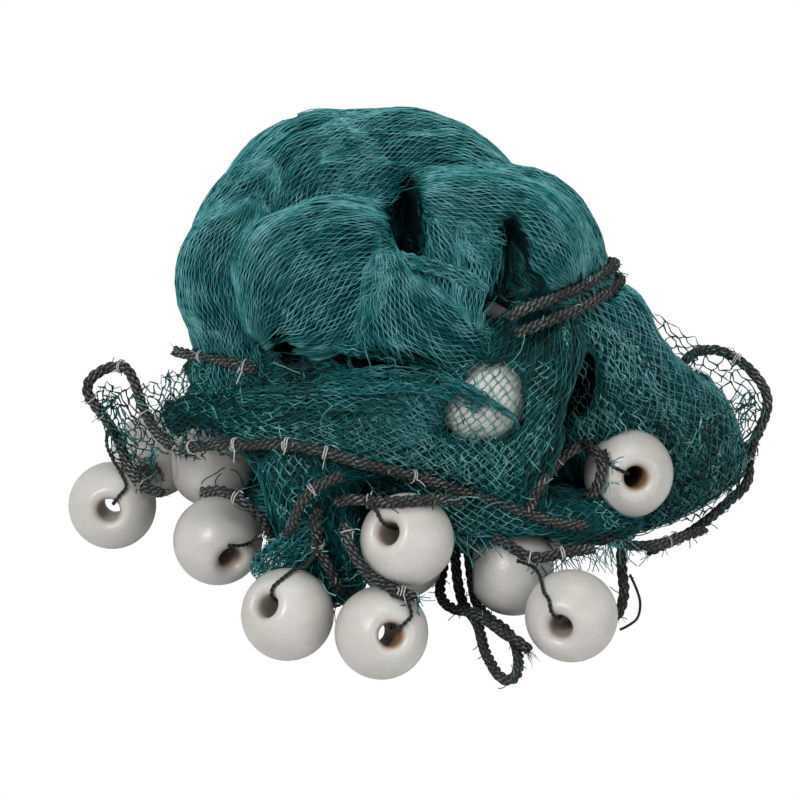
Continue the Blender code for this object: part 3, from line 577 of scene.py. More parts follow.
ROPES: dict[str, tuple] = {
    "edge_rope_left_ear": (
        (-218, -10, 70), (-228, -6, 70), (-240, 2, 73), (-251, 18, 84), (-258, 28, 99),
        (-266, 34, 112), (-276, 40, 124), (-284, 44, 137), (-282, 48, 148), (-271, 52, 156),
        (-259, 52, 160), (-249, 46, 161), (-242, 37, 153), (-236, 25, 140), (-228, 11, 130),
        (-219, -5, 126), (-208, -22, 126)),
    "edge_rope_front": (
        (-197, -34, 131), (-184, -50, 143), (-169, -64, 154), (-151, -76, 162),
        (-130, -85, 168), (-108, -92, 173), (-86, -97, 172), (-64, -100, 166), (-42, -100, 158),
        (-18, -98, 150), (8, -94, 139), (36, -88, 125), (64, -80, 111), (88, -72, 99)),
    "edge_rope_upper_left": (
        (-203, 14, 198), (-187, -4, 205), (-168, -24, 214), (-150, -40, 219), (-132, -48, 218)),
    "edge_rope_float_drop": (
        (-178, -72, 112), (-163, -83, 121), (-149, -93, 122), (-137, -98, 114),
        (-127, -98, 101), (-122, -92, 86), (-119, -84, 68)),
    "edge_rope_front_left": (
        (-60, -113, 156), (-72, -118, 154), (-84, -122, 148), (-94, -125, 136),
        (-100, -122, 119), (-105, -112, 100), (-107, -100, 84)),
    "edge_rope_front_right": (
        (-80, -114, 125), (-82, -119, 111), (-81, -122, 97), (-76, -125, 83),
        (-69, -128, 69), (-64, -126, 55), (-60, -119, 41)),
    "edge_rope_over_float": (
        (-64, -112, 130), (-53, -121, 138), (-37, -123, 138), (-22, -134, 144.5),
        (-6, -136, 147), (10, -130.5, 144), (24, -120, 137), (36, -105, 124)),
    "edge_rope_round_float": (
        (-57, -128, 119), (-54, -138, 107), (-48, -146, 96), (-38, -155.5, 88),
        (-26, -160.5, 82), (-13, -166, 78.3), (-1, -166, 73.4)),
    "edge_rope_right": (
        (95, -76, 100), (99, -75, 112), (105, -72, 124), (113, -68, 135), (124, -64, 144),
        (136, -62, 151)),
    "edge_rope_right_ear": (
        (240, 104, 134), (252, 114, 137), (266, 115, 139), (279, 111, 137), (292, 105, 131),
        (304, 97, 122), (312, 90, 111), (314, 84, 100), (311, 78, 89), (305, 72, 77),
        (300, 66, 65), (298, 60, 54), (298, 54, 44), (293, 46, 37), (283, 38, 32),
        (270, 26, 27), (256, 14, 22), (240, 2, 18), (222, -8, 15), (204, -18, 13)),
    "edge_rope_right_low": (
        (150, -66, 66), (168, -66, 58), (190, -62, 50), (212, -48, 43), (234, -30, 38),
        (252, -14, 34)),
    "edge_rope_front_low": (
        (66, -103, 88), (80, -112, 84), (92, -117, 79), (104, -118, 78), (118, -116, 80),
        (134, -110, 79), (148, -100, 74)),
    "edge_rope_float_loop": (
        (138, -16, 132), (147, -30, 131), (154, -42, 131), (157, -52, 125), (155, -57, 116),
        (152, -58, 107), (147, -55, 97), (140, -50, 90)),
    "edge_rope_tail": (
        (180, -38, 52), (177, -54, 38), (177, -70, 28), (178, -84, 19), (175, -96, 11),
        (170, -104, 6)),
    "tie_rope_upper": (
        (76, -52, 270), (91, -46, 275), (107, -37, 276), (123, -25, 276), (139, -10, 275),
        (153, 8, 274), (163, 24, 272), (168, 40, 268), (164, 54, 262), (152, 62, 256)),
    "tie_rope_lower": (
        (82, -55, 256), (97, -50, 260), (113, -42, 262), (130, -30, 263), (146, -14, 262),
        (160, 5, 260), (169, 22, 258), (173, 38, 254), (169, 54, 248), (157, 64, 243)),
}

LOOSE_ROPES: dict[str, tuple] = {
    "loose_loop_rope": (
        (34, -34, 34), (35, -52, 26), (37, -66, 14), (40, -79, 6.4), (44, -91, 5.4), (49, -102, 5.4),
        (53, -114, 5.4), (55, -128, 5.4), (58, -150, 5.4), (63, -168, 5.4), (68, -182, 5.4),
        (75, -189, 5.4), (82, -184, 5.4), (85, -170, 5.4), (85, -152, 5.4), (82, -134, 5.4),
        (75, -119, 5.4), (66, -109, 5.4), (59, -98, 5.4), (54, -87, 5.4), (51, -75, 7.0),
        (49, -62, 14), (47, -50, 26), (46, -34, 34)),
    "loose_tail_rope": (
        (28, -14, 22), (26, -30, 16), (24, -46, 11), (22, -60, 8), (22, -72, 6), (26, -84, 5.6),
        (34, -96, 8.5), (43, -106, 14), (54, -117, 16.6), (64, -128, 16.8), (76, -143, 16.8),
        (86, -152, 16.4), (94, -158, 12)),
}

TIES: tuple[Tie, ...] = (
    Tie(1, ((-265, 26, 115), (-268, 24, 99), (-264, 20, 87), (-257, 12, 73), (-251, 0, 69))),
    Tie(4, ((-129, -88, 84), (-134, -74, 68), (-139, -60, 53), (-148, -67, 54), (-157, -71, 57))),
    Tie(5, ((-84, -145, 95), (-90, -138, 84), (-99, -133, 77), (-105, -143, 78))),
    Tie(6, ((-9, -171, 76), (-5, -176, 70), (-4, -183, 66))),
    Tie(7, ((-41, -137, 143), (-35, -132, 137), (-32, -134, 136))),
    Tie(12, ((96, -123, 72), (102, -127, 68), (104, -140, 69), (106, -154, 68), (109, -162, 67))),
    Tie(13, ((166, -56, 131), (168, -53, 124))),
)

FRINGES: tuple[Fringe, ...] = (
    Fringe((146, -96, 70), (186, -60, 58), 34),
    Fringe((100, -112, 76), (146, -96, 72), 40),
    Fringe((30, -100, 90), (62, -100, 84), 30),
    Fringe((-64, -118, 40), (-88, -110, 74), 30),
    Fringe((-110, -96, 66), (-126, -84, 64), 30),
    Fringe((-1, -166, 73), (2, -166, 73), 12, longest=18),
    Fringe((161, -68, 140), (164, -69, 137), 6, (0.9, -0.4, 0.7), 16),
    Fringe((160, -68, 122), (163, -69, 118), 7, (0.9, -0.5, -0.6), 18),
)

STRAY_CORD = ((183, -76, 30), (188, -92, 25), (190, -104, 20), (187, -116, 14), (178, -122, 10),
              (172, -124, 8))

NETTING_ROPES: dict[str, tuple] = {
    "rope_under_apron": (
        (34, -110, 144), (64, -110, 130), (92, -110, 117), (120, -110, 106), (140, -110, 105)),
    "rope_to_round_float": (
        (93, -110, 118), (97, -110, 135), (106, -110, 153), (117, -110, 168), (128, -110, 178)),
}

LASHINGS: dict[str, tuple[float, ...]] = {
    "edge_rope_front": (0.06, 0.22, 0.36, 0.46, 0.69, 0.93),
    "edge_rope_front_left": (0.26, 0.92),
    "edge_rope_float_drop": (0.36, 0.86),
    "edge_rope_front_right": (0.36,),
    "edge_rope_round_float": (0.08, 0.87),
    "edge_rope_over_float": (0.24,),
    "edge_rope_right": (0.72,),
    "edge_rope_front_low": (0.37, 0.66),
    "edge_rope_right_low": (0.62,),
    "edge_rope_right_ear": (0.18, 0.52, 0.9),
    "edge_rope_left_ear": (0.08, 0.36, 0.43, 0.62, 0.82),
    "edge_rope_upper_left": (0.4, 0.9),
}


# ---------------------------------------------------------------------------------------------
# Routes and meshes
# ---------------------------------------------------------------------------------------------


def unit(vectors: Array) -> Array:
    """Scale vectors, held in the last axis, to length one."""
    lengths = np.linalg.norm(vectors, axis=-1, keepdims=True)
    return vectors / np.maximum(lengths, 1e-12)


def to_frame(points: Array) -> Array:
    """Bring points in the tables' millimetres into the model's frame, in metres."""
    return (np.asarray(points, dtype=float) + TABLE_SHIFT) * MM


def mileage(track: Array) -> Array:
    """Measure how far along a track each of its points is."""
    return np.concatenate([[0.0], np.cumsum(np.linalg.norm(np.diff(track, axis=0), axis=1))])


def eased_between(first: Array, second: Array, leaving: Array, arriving: Array, share: Array) -> Array:
    """Find the points at some shares of a smooth curve, from its ends and the speeds there."""
    return (first * (2 * share ** 3 - 3 * share ** 2 + 1) + second * (3 * share ** 2 - 2 * share ** 3)
            + leaving * (share ** 3 - 2 * share ** 2 + share) + arriving * (share ** 3 - share ** 2))


def smooth_route(points: Iterable[Sequence[float]], step: float) -> Array:
    """Follow a smooth curve through a route's points.

    Args:
        points: The route's points.
        step: About how far apart the returned points are.

    Returns:
        Points at even spacing, in the route's own unit.
    """
    knots = np.array([list(point) for point in points], dtype=float)
    tangents = np.gradient(knots, axis=0)
    tangents[0] = (knots[1] - knots[0]) / 2
    tangents[-1] = (knots[-1] - knots[-2]) / 2
    share = np.linspace(0, 1, 16)[:, None]
    track = np.concatenate([eased_between(*run, share)
                            for run in zip(knots, knots[1:], tangents, tangents[1:])])
    lengths = mileage(track)
    places = np.linspace(0.0, lengths[-1], max(2, round(lengths[-1] / step)) + 1)
    return np.stack([np.interp(places, lengths, track[:, axis]) for axis in range(3)], axis=1)


def smooth_row(points: Iterable[Sequence[float]], count: int) -> Array:
    """Spread points over a smooth curve through a row's points.

    Args:
        points: The row's points.
        count: How many steps the row is cut into.

    Returns:
        count + 1 points.
    """
    knots = np.array([list(point) for point in points], dtype=float)
    places = np.linspace(0, len(knots) - 1, count + 1)
    low = np.minimum(places.astype(int), len(knots) - 2)
    before, after = knots[np.maximum(low - 1, 0)], knots[np.minimum(low + 2, len(knots) - 1)]
    first, second = knots[low], knots[low + 1]
    return eased_between(first, second, (second - before) / 2, (after - first) / 2,
                         (places - low)[:, None])


def track_frames(track: Array) -> tuple[Array, Array]:
    """Find unit vectors across a track that don't twist about it.

    Args:
        track: The track's points.

    Returns:
        The vectors to the side and up, one of each for each point.
    """
    ahead = unit(np.gradient(track, axis=0))
    start = np.array([0.0, 0.0, 1.0]) if abs(ahead[0][2]) < 0.9 else np.array([1.0, 0.0, 0.0])
    side = np.cross(ahead[0], start)
    sides = []
    for direction in ahead:
        side = unit(side - direction * side.dot(direction))
        sides.append(side)
    across = np.array(sides)
    return across, np.cross(ahead, across)


def ripple(points: Array, length: float, seed: int) -> Array:
    """Work out a smooth uneven value at each point.

    Args:
        points: Points in metres.
        length: About how long a wave is, in metres.
        seed: Which of many patterns to use.

    Returns:
        One value for each point, mostly between -1 and 1.
    """
    chance = np.random.default_rng(seed)
    total = np.zeros(points.shape[:-1])
    for _ in range(5):
        wave = unit(chance.normal(size=3)) * math.tau / (length * chance.uniform(0.7, 1.5))
        total += np.sin(points @ wave + chance.uniform(0, math.tau))
    return total / 2.6


def corner_places(left: Array, right: Array, low: Array, high: Array) -> Array:
    """Work out the texture coordinates of faces' corners.

    Args:
        left: Each face's first value round the strand.
        right: Its second value round the strand.
        low: Its first value along the strand.
        high: Its second value along the strand.

    Returns:
        Two coordinates for each of the four corners of each face.
    """
    left, right, low, high = np.broadcast_arrays(left, right, low, high)
    return np.stack([np.stack(corner, -1) for corner in
                     ((left, low), (right, low), (right, high), (left, high))], axis=2)


def read_vectors(items: bpy.types.bpy_prop_collection, name: str) -> Array:
    """Read a vector of each vertex or face of a mesh.

    Args:
        items: The mesh's vertices or faces.
        name: The vector's name.

    Returns:
        An array of them.
    """
    values = np.empty(len(items) * 3, dtype=np.float32)
    items.foreach_get(name, values)
    return values.reshape(-1, 3).astype(float)


def read_corners(mesh: Mesh) -> tuple[Array, Array, Array]:
    """Read which vertex and face each corner of a mesh belongs to.

    Args:
        mesh: The mesh.

    Returns:
        Each corner's vertex, each corner's face, and how many corners each face has.
    """
    totals = np.empty(len(mesh.polygons), dtype=np.int32)
    corners = np.empty(len(mesh.loops), dtype=np.int32)
    mesh.polygons.foreach_get("loop_total", totals)
    mesh.loops.foreach_get("vertex_index", corners)
    return corners, np.repeat(np.arange(len(totals)), totals), totals


def add_shade(mesh: Mesh, values: Array) -> None:
    """Give a mesh's vertices the shade value that its material reads."""
    shade = mesh.attributes.new("shade", "FLOAT", "POINT")
    shade.data.foreach_set("value", values.astype(np.float32))


def link(name: str, data: bpy.types.ID) -> Item:
    """Link a new object to the scene.

    Args:
        name: The object's name.
        data: Its mesh, lamp or camera.

    Returns:
        The object.
    """
    item = bpy.data.objects.new(name, data)
    bpy.context.scene.collection.objects.link(item)
    return item


def select_nothing() -> None:
    """Deselect everything, so that an operator reaches only what is added next."""
    for item in bpy.context.selected_objects:
        item.select_set(False)


def stand_in(piece: Item, slot: Slot, *nodes: str) -> Item:
    """Attach a piece to the root, and hide the model's nodes that it stands for.

    Args:
        piece: The piece.
        slot: Where its finish comes from. Not used.
        nodes: The nodes that it stands for.

    Returns:
        The piece.
    """
    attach(piece, "root")
    if nodes:
        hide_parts(*nodes)
    return piece


@dataclass
class MeshParts:
    """Vertices, four-sided faces and their attributes, gathered up for one mesh.

    Attributes:
        points: Blocks of vertices, in metres.
        faces: Blocks of faces.
        places: Blocks of texture coordinates, for each corner of each face.
        shades: Blocks of shade values, for each vertex.
        count: How many vertices there are.
    """

    points: list[Array] = field(default_factory=list)
    faces: list[Array] = field(default_factory=list)
    places: list[Array] = field(default_factory=list)
    shades: list[Array] = field(default_factory=list)
    count: int = 0

    def add(self, points: Array, faces: Array, places: Array, shade: Array) -> None:
        """Add some faces.

        Args:
            points: The new vertices, in metres.
            faces: Four vertex numbers for each face, counted from the first new vertex.
            places: Two texture coordinates for each corner of each face.
            shade: One value for each new vertex.
        """
        self.points.append(points.reshape(-1, 3))
        self.faces.append(faces.reshape(-1, 4) + self.count)
        self.places.append(places.reshape(-1, 2))
        self.shades.append(shade.reshape(-1))
        self.count += self.points[-1].shape[0]

    def tube(self, track: Array, radii: Array | float, sides: int, shade: float) -> None:
        """Add a round tube along a track, with its ends drawn in to a point.

        Args:
            track: The tube's middle, in metres.
            radii: Its radius, for all or for each point, in metres.
            sides: How many sides it has.
            shade: The shade value of its vertices.
        """
        side, up = track_frames(track)
        radii = np.broadcast_to(np.asarray(radii, dtype=float), (len(track),))
        ahead = unit(np.gradient(track, axis=0))
        track = np.concatenate([[track[0] - ahead[0] * radii[0] * 0.4], track,
                                [track[-1] + ahead[-1] * radii[-1] * 0.4]])
        side = np.concatenate([side[:1], side, side[-1:]])
        up = np.concatenate([up[:1], up, up[-1:]])
        radii = np.concatenate([[1e-5], radii, [1e-5]])
        angles = np.arange(sides) * math.tau / sides
        ring = (side[:, None] * np.cos(angles)[None, :, None] + up[:, None] * np.sin(angles)[None, :, None])
        points = track[:, None] + ring * radii[:, None, None]
        lengths = mileage(track)[:, None]
        rows = np.arange(len(track) - 1)[:, None] * sides
        around = np.arange(sides)[None, :]
        after = (around + 1) % sides
        faces = np.stack([rows + around, rows + after, rows + sides + after, rows + sides + around], axis=-1)
        left = around / sides
        self.add(points, faces, corner_places(left, left + 1 / sides, lengths[:-1], lengths[1:]),
                 np.full(points.shape[:2], shade))

    def strands(self, nodes: Array, keep: Array, outward: Array, shade: Array, radii: Array) -> None:
        """Add lengths of three-sided twine, each through a row of points.

        Args:
            nodes: The points of each length, in metres.
            keep: Which points may be used.
            outward: The way out of the heap at each point.
            shade: The shade value at each point.
            radii: The twine's radius at each point, in metres.
        """
        joined = keep[:, :-1] & keep[:, 1:]
        ahead = unit(np.gradient(nodes, axis=1))
        side = unit(np.cross(ahead, outward))
        out = np.cross(side, ahead)
        held = np.zeros(keep.shape, dtype=int)
        held[:, :-1] += joined
        held[:, 1:] += joined
        radii = np.where(held == 2, radii, radii * 0.25)
        angles = math.pi / 2 + np.arange(3) * math.tau / 3
        ring = (side[..., None, :] * np.cos(angles)[:, None] + out[..., None, :] * np.sin(angles)[:, None])
        points = (nodes[..., None, :] + ring * radii[..., None, None]).reshape(-1, 3)
        first = (np.arange(keep.size).reshape(keep.shape)[:, :-1][joined] * 3)[:, None]
        around = np.arange(3)[None]
        after = (around + 1) % 3
        faces = np.stack([first + around, first + after, first + 3 + after, first + 3 + around], axis=-1)
        lengths = np.linalg.norm(np.diff(nodes, axis=1), axis=2)
        along = np.concatenate([np.zeros((len(nodes), 1)), np.cumsum(lengths, axis=1)], axis=1)
        left = around / 3
        places = corner_places(left, left + 1 / 3, along[:, :-1][joined][:, None],
                               along[:, 1:][joined][:, None])
        used, renumbered = np.unique(faces, return_inverse=True)
        self.add(points[used], renumbered.reshape(-1, 4), places, np.repeat(shade.ravel(), 3)[used])

    def area(self) -> float:
        """Measure the faces.

        Returns:
            Their area in square metres.
        """
        corners = np.concatenate(self.points)[np.concatenate(self.faces)]
        first = np.cross(corners[:, 1] - corners[:, 0], corners[:, 2] - corners[:, 0])
        second = np.cross(corners[:, 2] - corners[:, 0], corners[:, 3] - corners[:, 0])
        return 0.5 * float(np.linalg.norm(first, axis=1).sum() + np.linalg.norm(second, axis=1).sum())

    def build(self, name: str, finish: Material) -> Item:
        """Make the object, with smooth faces.

        Args:
            name: The object's name.
            finish: Its material.

        Returns:
            The object.
        """
        points = np.concatenate(self.points).astype(np.float32)
        faces = np.concatenate(self.faces).astype(np.int32)
        mesh = bpy.data.meshes.new(name)
        mesh.vertices.add(len(points))
        mesh.vertices.foreach_set("co", points.ravel())
        mesh.loops.add(faces.size)
        mesh.loops.foreach_set("vertex_index", faces.ravel())
        mesh.polygons.add(len(faces))
        mesh.polygons.foreach_set("loop_start", np.arange(0, faces.size, 4, dtype=np.int32))
        mesh.update(calc_edges=True)
        layer = mesh.uv_layers.new(name="UVMap")
        layer.data.foreach_set("uv", np.concatenate(self.places).astype(np.float32).ravel())
        add_shade(mesh, np.concatenate(self.shades))
        mesh.shade_smooth()
        mesh.materials.append(finish)
        return link(name, mesh)


# ---------------------------------------------------------------------------------------------
# Finishes
# ---------------------------------------------------------------------------------------------


@dataclass
class Shader:
    """A material's node tree, with short calls for its nodes.

    Attributes:
        tree: The node tree.
    """

    tree: bpy.types.NodeTree

    def node(self, kind: str, **values: object) -> bpy.types.Node:
        """Add a node.

        Args:
            kind: The node's type name.
            values: Properties to set on it.

        Returns:
            The node.
        """
        made = self.tree.nodes.new(kind)
        for key, value in values.items():
            setattr(made, key, value)
        return made

    def link(self, source: Socket, target: Socket) -> None:
        """Join a socket that gives a value to one that takes it."""
        self.tree.links.new(source, target)

    def fill(self, socket: Socket, value: object) -> None:
        """Give a socket its value.

        Args:
            socket: The socket.
            value: A number, a colour, or the socket that it is linked to.
        """
        if isinstance(value, Socket):
            self.link(value, socket)
        else:
            socket.default_value = (*value, 1.0) if isinstance(value, tuple) else value

    def noise(self, vector: Socket, scale: float, detail: float, roughness: float = 0.55) -> Socket:
        """Add a noise texture.

        Args:
            vector: Where it is read.
            scale: How fine it is.
            detail: How many finer layers it has.
            roughness: How strong they are.

        Returns:
            Its value socket.
        """
        made = self.node("ShaderNodeTexNoise")
        for key, value in (("Scale", scale), ("Detail", detail), ("Roughness", roughness),
                           ("Vector", vector)):
            self.fill(made.inputs[key], value)
        return made.outputs["Fac"]

    def ramp(self, value: Socket, low: float, high: float) -> Socket:
        """Stretch a value between two limits to 0 and 1.

        Args:
            value: The value.
            low: What becomes 0.
            high: What becomes 1.

        Returns:
            The stretched value's socket.
        """
        made = self.node("ShaderNodeMapRange", clamp=True)
        for key, given in (("From Min", low), ("From Max", high), ("Value", value)):
            self.fill(made.inputs[key], given)
        return made.outputs["Result"]

    def math(self, operation: str, first: object, second: object = 0.0) -> Socket:
        """Add a math node.

        Args:
            operation: What it works out.
            first: Its first number or socket.
            second: Its second number or socket.

        Returns:
            The result's socket.
        """
        made = self.node("ShaderNodeMath", operation=operation)
        self.fill(made.inputs[0], first)
        self.fill(made.inputs[1], second)
        return made.outputs["Value"]

    def mix(self, share: object, first: object, second: object) -> Socket:
        """Mix two colours.

        Args:
            share: How much of the second, as a number or a socket.
            first: The first colour or socket.
            second: The second colour or socket.

        Returns:
            The mixed colour's socket.
        """
        made = self.node("ShaderNodeMix", data_type="RGBA")
        for name, value in (("Factor", share), ("A", first), ("B", second)):
            self.fill(next(item for item in made.inputs if item.name == name and item.enabled), value)
        return next(item for item in made.outputs if item.enabled)

    def shade(self) -> Socket:
        """Read the shade value that a mesh carries."""
        return self.node("ShaderNodeAttribute", attribute_name="shade").outputs["Fac"]

    def split_place(self) -> tuple[Socket, bpy.types.NodeOutputs]:
        """Read the texture coordinates.

        Returns:
            Their socket, and the sockets of their values one by one.
        """
        place = self.node("ShaderNodeUVMap", uv_map="UVMap")
        split = self.node("ShaderNodeSeparateXYZ")
        self.link(place.outputs["UV"], split.inputs["Vector"])
        return place.outputs["UV"], split.outputs

    def use(self, group: bpy.types.NodeTree, **values: float) -> bpy.types.NodeOutputs:
        """Put a shared group in the material.

        Args:
            group: The group.
            values: Values for its inputs.

        Returns:
            Its output sockets.
        """
        made = self.node("ShaderNodeGroup", node_tree=group)
        for key, value in values.items():
            made.inputs[key].default_value = value
        return made.outputs

    def bump(self, height: Socket, strength: float, distance: float) -> None:
        """Give the material a bump.

        Args:
            height: The bump's height.
            strength: How strong it is.
            distance: How deep it is, in metres.
        """
        made = self.node("ShaderNodeBump")
        for key, value in (("Strength", strength), ("Distance", distance), ("Height", height)):
            self.fill(made.inputs[key], value)
        self.link(made.outputs["Normal"], self.tree.nodes["Principled BSDF"].inputs["Normal"])


class SharedGroups:
    """The node groups that the finishes share."""

    def __init__(self) -> None:
        """Make the groups."""
        self.yarn = self._yarn()
        self.threads = self._threads()
        self.grime = self._grime()

    @staticmethod
    def _start(name: str, inputs: dict[str, float], outputs: Sequence[str]
               ) -> tuple[Shader, bpy.types.NodeOutputs, bpy.types.NodeInputs]:
        """Start a node group.

        Args:
            name: The group's name.
            inputs: The name and default of each input.
            outputs: The name of each output.

        Returns:
            The group's helper, what it is given and what it puts out.
        """
        tree = bpy.data.node_groups.new(name, "ShaderNodeTree")
        for label, value in inputs.items():
            socket = tree.interface.new_socket(label, in_out="INPUT", socket_type="NodeSocketFloat")
            socket.default_value = value
        for label in outputs:
            tree.interface.new_socket(label, in_out="OUTPUT", socket_type="NodeSocketFloat")
        given, put = (tree.nodes.new(kind) for kind in ("NodeGroupInput", "NodeGroupOutput"))
        return Shader(tree), given.outputs, put.inputs

    def _yarn(self) -> bpy.types.NodeTree:
        """Make the group for laid yarn.

        Returns:
            A group that gives slanting yarn ridges along a strand's own coordinates.
        """
        shader, given, put = self._start("laid_yarn", {"Turns": 3.0, "Lay": 120.0}, ["Height"])
        _, split = shader.split_place()
        around = shader.math("MULTIPLY", split["X"], given["Turns"])
        along = shader.math("MULTIPLY", split["Y"], given["Lay"])
        slant = shader.math("ADD", around, along)
        wave = shader.math("SINE", shader.math("MULTIPLY", slant, math.tau))
        shader.link(shader.math("MULTIPLY_ADD", wave, 0.5), put["Height"])
        return shader.tree

    def _threads(self) -> bpy.types.NodeTree:
        """Make the group for close threads.

        Returns:
            A group that gives fine uneven ridges along a fold's own coordinates.
        """
        shader, given, put = self._start("close_threads", {"Across": 430.0, "Cross angle": 0.12}, ["Height"])
        place, split = shader.split_place()
        drift = shader.math("MULTIPLY", shader.noise(place, 26.0, 2.0), 0.010)
        ridges = []
        for way in (1.0, -1.0):
            lean = shader.math("MULTIPLY", split["Y"], given["Cross angle"])
            spot = shader.math("ADD", split["X"], shader.math("MULTIPLY", lean, way))
            spot = shader.math("MULTIPLY", shader.math("ADD", spot, drift), given["Across"])
            wave = shader.math("SINE", shader.math("MULTIPLY", spot, math.tau))
            ridges.append(shader.ramp(wave, -0.2, 0.9))
        shader.link(shader.math("MAXIMUM", *ridges), put["Height"])
        return shader.tree

    def _grime(self) -> bpy.types.NodeTree:
        """Make the group for uneven fading.

        Returns:
            A group that gives a broad and a fine uneven mask over an object.
        """
        shader, given, put = self._start("uneven_fading", {"Broad": 9.0, "Fine": 90.0},
                                         ["Broad mask", "Fine mask"])
        place = shader.node("ShaderNodeTexCoord")
        for scale, low, high in (("Broad", 0.38, 0.66), ("Fine", 0.35, 0.7)):
            noise = shader.node("ShaderNodeTexNoise")
            noise.inputs["Detail"].default_value = 3.0
            shader.link(place.outputs["Object"], noise.inputs["Vector"])
            shader.link(given[scale], noise.inputs["Scale"])
            shader.link(shader.ramp(noise.outputs["Fac"], low, high), put[f"{scale} mask"])
        return shader.tree


def start_material(name: str, roughness: float, **values: float) -> tuple[Material, Shader, Socket]:
    """Start a material.

    Args:
        name: Its name.
        roughness: Its roughness.
        values: Constants for the shader's other sockets, with _ for a space.

    Returns:
        The material, its shader helper and its colour socket.
    """
    material = bpy.data.materials.new(name)
    material.use_nodes = True
    main = material.node_tree.nodes["Principled BSDF"]
    main.inputs["Roughness"].default_value = roughness
    for key, value in values.items():
        main.inputs[key.replace("_", " ")].default_value = value
    return material, Shader(material.node_tree), main.inputs["Base Color"]


@dataclass(frozen=True)
class TwineFinish:
    """The net twine's finish.

    Attributes:
        name: The material's name.
        dark: The colour of twine deep in the heap, as painted shade.
        mid: The usual colour.
        pale: The colour of faded twine, also used as painted highlight.
    """

    name: str
    dark: Triple
    mid: Triple
    pale: Triple

    def make(self, groups: SharedGroups) -> Material:
        """Make the material.

        Args:
            groups: The shared node groups.

        Returns:
            The material, which is darker and less faded where the shade value is low, the darkness being
            painted shade, and paler where it is high, with fading and painted highlight.
        """
        material, shader, colour = start_material(self.name, 0.38, Specular_IOR_Level=0.24)
        shade = shader.shade()
        grime = shader.use(groups.grime, Broad=14.0, Fine=150.0)
        worn = shader.math("MULTIPLY", grime["Broad mask"], 0.25)
        worn = shader.math("ADD", worn, shader.math("MULTIPLY", grime["Fine mask"], 0.5))
        worn = shader.math("ADD", worn, 0.25)
        # Painted shade from dark to mid; fading and painted highlight towards pale.
        lit = shader.mix(shader.ramp(shade, 0.0, 0.6), self.dark, self.mid)
        pale_share = shader.math("MULTIPLY", worn, shader.ramp(shade, 0.5, 1.0))
        shader.link(shader.mix(pale_share, lit, self.pale), colour)
        shader.bump(shader.use(groups.yarn, Turns=3.0, Lay=420.0)["Height"], 0.5, 0.0002)
        return material


@dataclass(frozen=True)
class DepthFinish:
    """The finish of netting that is only seen deep between the strands.

    Attributes:
        name: The material's name.
        dark: The colour where no light reaches.
        light: The colour of its threads, darker than the twine's, as painted shade deep in the heap.
    """

    name: str
    dark: Triple
    light: Triple

    def make(self, groups: SharedGroups) -> Material:
        """Make the material.

        Args:
            groups: The shared node groups.

        Returns:
            The material, with threads that run along the folds and darken where light can't reach.
        """
        material, shader, colour = start_material(self.name, 0.75, Specular_IOR_Level=0.15)
        place = shader.node("ShaderNodeTexCoord")
        threads = shader.use(groups.threads)["Height"]
        light = shader.math("POWER", shader.shade(), 1.6)
        shader.link(shader.mix(shader.math("MULTIPLY", threads, light), self.dark, self.light), colour)
        grain = shader.noise(place.outputs["Object"], 300.0, 3.0, 0.6)
        shader.bump(shader.math("ADD", threads, shader.math("MULTIPLY", grain, 0.5)), 0.9, 0.0008)
        return material


@dataclass(frozen=True)
class RopeFinish:
    """A laid rope's finish.

    Attributes:
        name: The material's name.
        dark: The colour between the yarns.
        pale: The colour of the yarns' tops, partly wear and partly painted highlight.
        lay: How many yarns cross a metre of strand.
        brown: The colour of its dirt.
    """

    name: str
    dark: Triple
    pale: Triple
    lay: float
    brown: Triple = (0.0045, 0.0048, 0.0042)

    def make(self, groups: SharedGroups) -> Material:
        """Make the material.

        Args:
            groups: The shared node groups.

        Returns:
            The material.
        """
        material, shader, colour = start_material(self.name, 0.7, Specular_IOR_Level=0.25)
        grime = shader.use(groups.grime, Broad=22.0, Fine=320.0)
        shade = shader.shade()
        yarn = shader.use(groups.yarn, Turns=2.0, Lay=self.lay)["Height"]
        # Lighter yarn crests: painted highlight, with some wear.
        tops = shader.math("MULTIPLY", shader.ramp(yarn, 0.62, 1.0), shade)
        tops = shader.math("MULTIPLY", tops, shader.math("ADD", grime["Broad mask"], 0.35))
        tops = shader.math("ADD", tops, shader.math("MULTIPLY", grime["Fine mask"], 0.12))
        dirty = shader.mix(grime["Broad mask"], self.dark, self.brown)
        shader.link(shader.mix(tops, dirty, self.pale), colour)
        shader.bump(yarn, 0.7, 0.0005)
        return material


@dataclass(frozen=True)
class PlasticFinish:
    """The floats' finish.

    Attributes:
        name: The material's name.
        clean: The shell's colour.
        dull: Its colour where it is duller.
        dust: The colour of its specks.
        stain: The colour deep in the bore, also used for painted shade where floats meet.
    """

    name: str
    clean: Triple
    dull: Triple
    dust: Triple
    stain: Triple

    def make(self, groups: SharedGroups) -> Material:
        """Make the material.

        Args:
            groups: The shared node groups.

        Returns:
            The material, which is stained in the bore and given painted shade where floats meet, where the
            shade value is high.
        """
        material, shader, colour = start_material(
            self.name, 0.4, Coat_Weight=0.12, Coat_Roughness=0.25, Subsurface_Weight=0.08,
            Subsurface_Scale=0.01)
        grime = shader.use(groups.grime, Broad=26.0, Fine=420.0)
        shade = shader.shade()
        plain = shader.mix(grime["Broad mask"], self.clean, self.dull)
        dusty = shader.mix(shader.math("MULTIPLY", grime["Fine mask"], 0.22), plain, self.dust)
        shader.link(shader.mix(shader.ramp(shade, 0.0, 1.0), dusty, self.stain), colour)
        rough = shader.math("MULTIPLY_ADD", grime["Fine mask"], 0.18)
        rough.node.inputs[2].default_value = 0.32
        shader.link(rough, shader.tree.nodes["Principled BSDF"].inputs["Roughness"])
        shader.bump(grime["Fine mask"], 0.12, 0.0004)
        return material


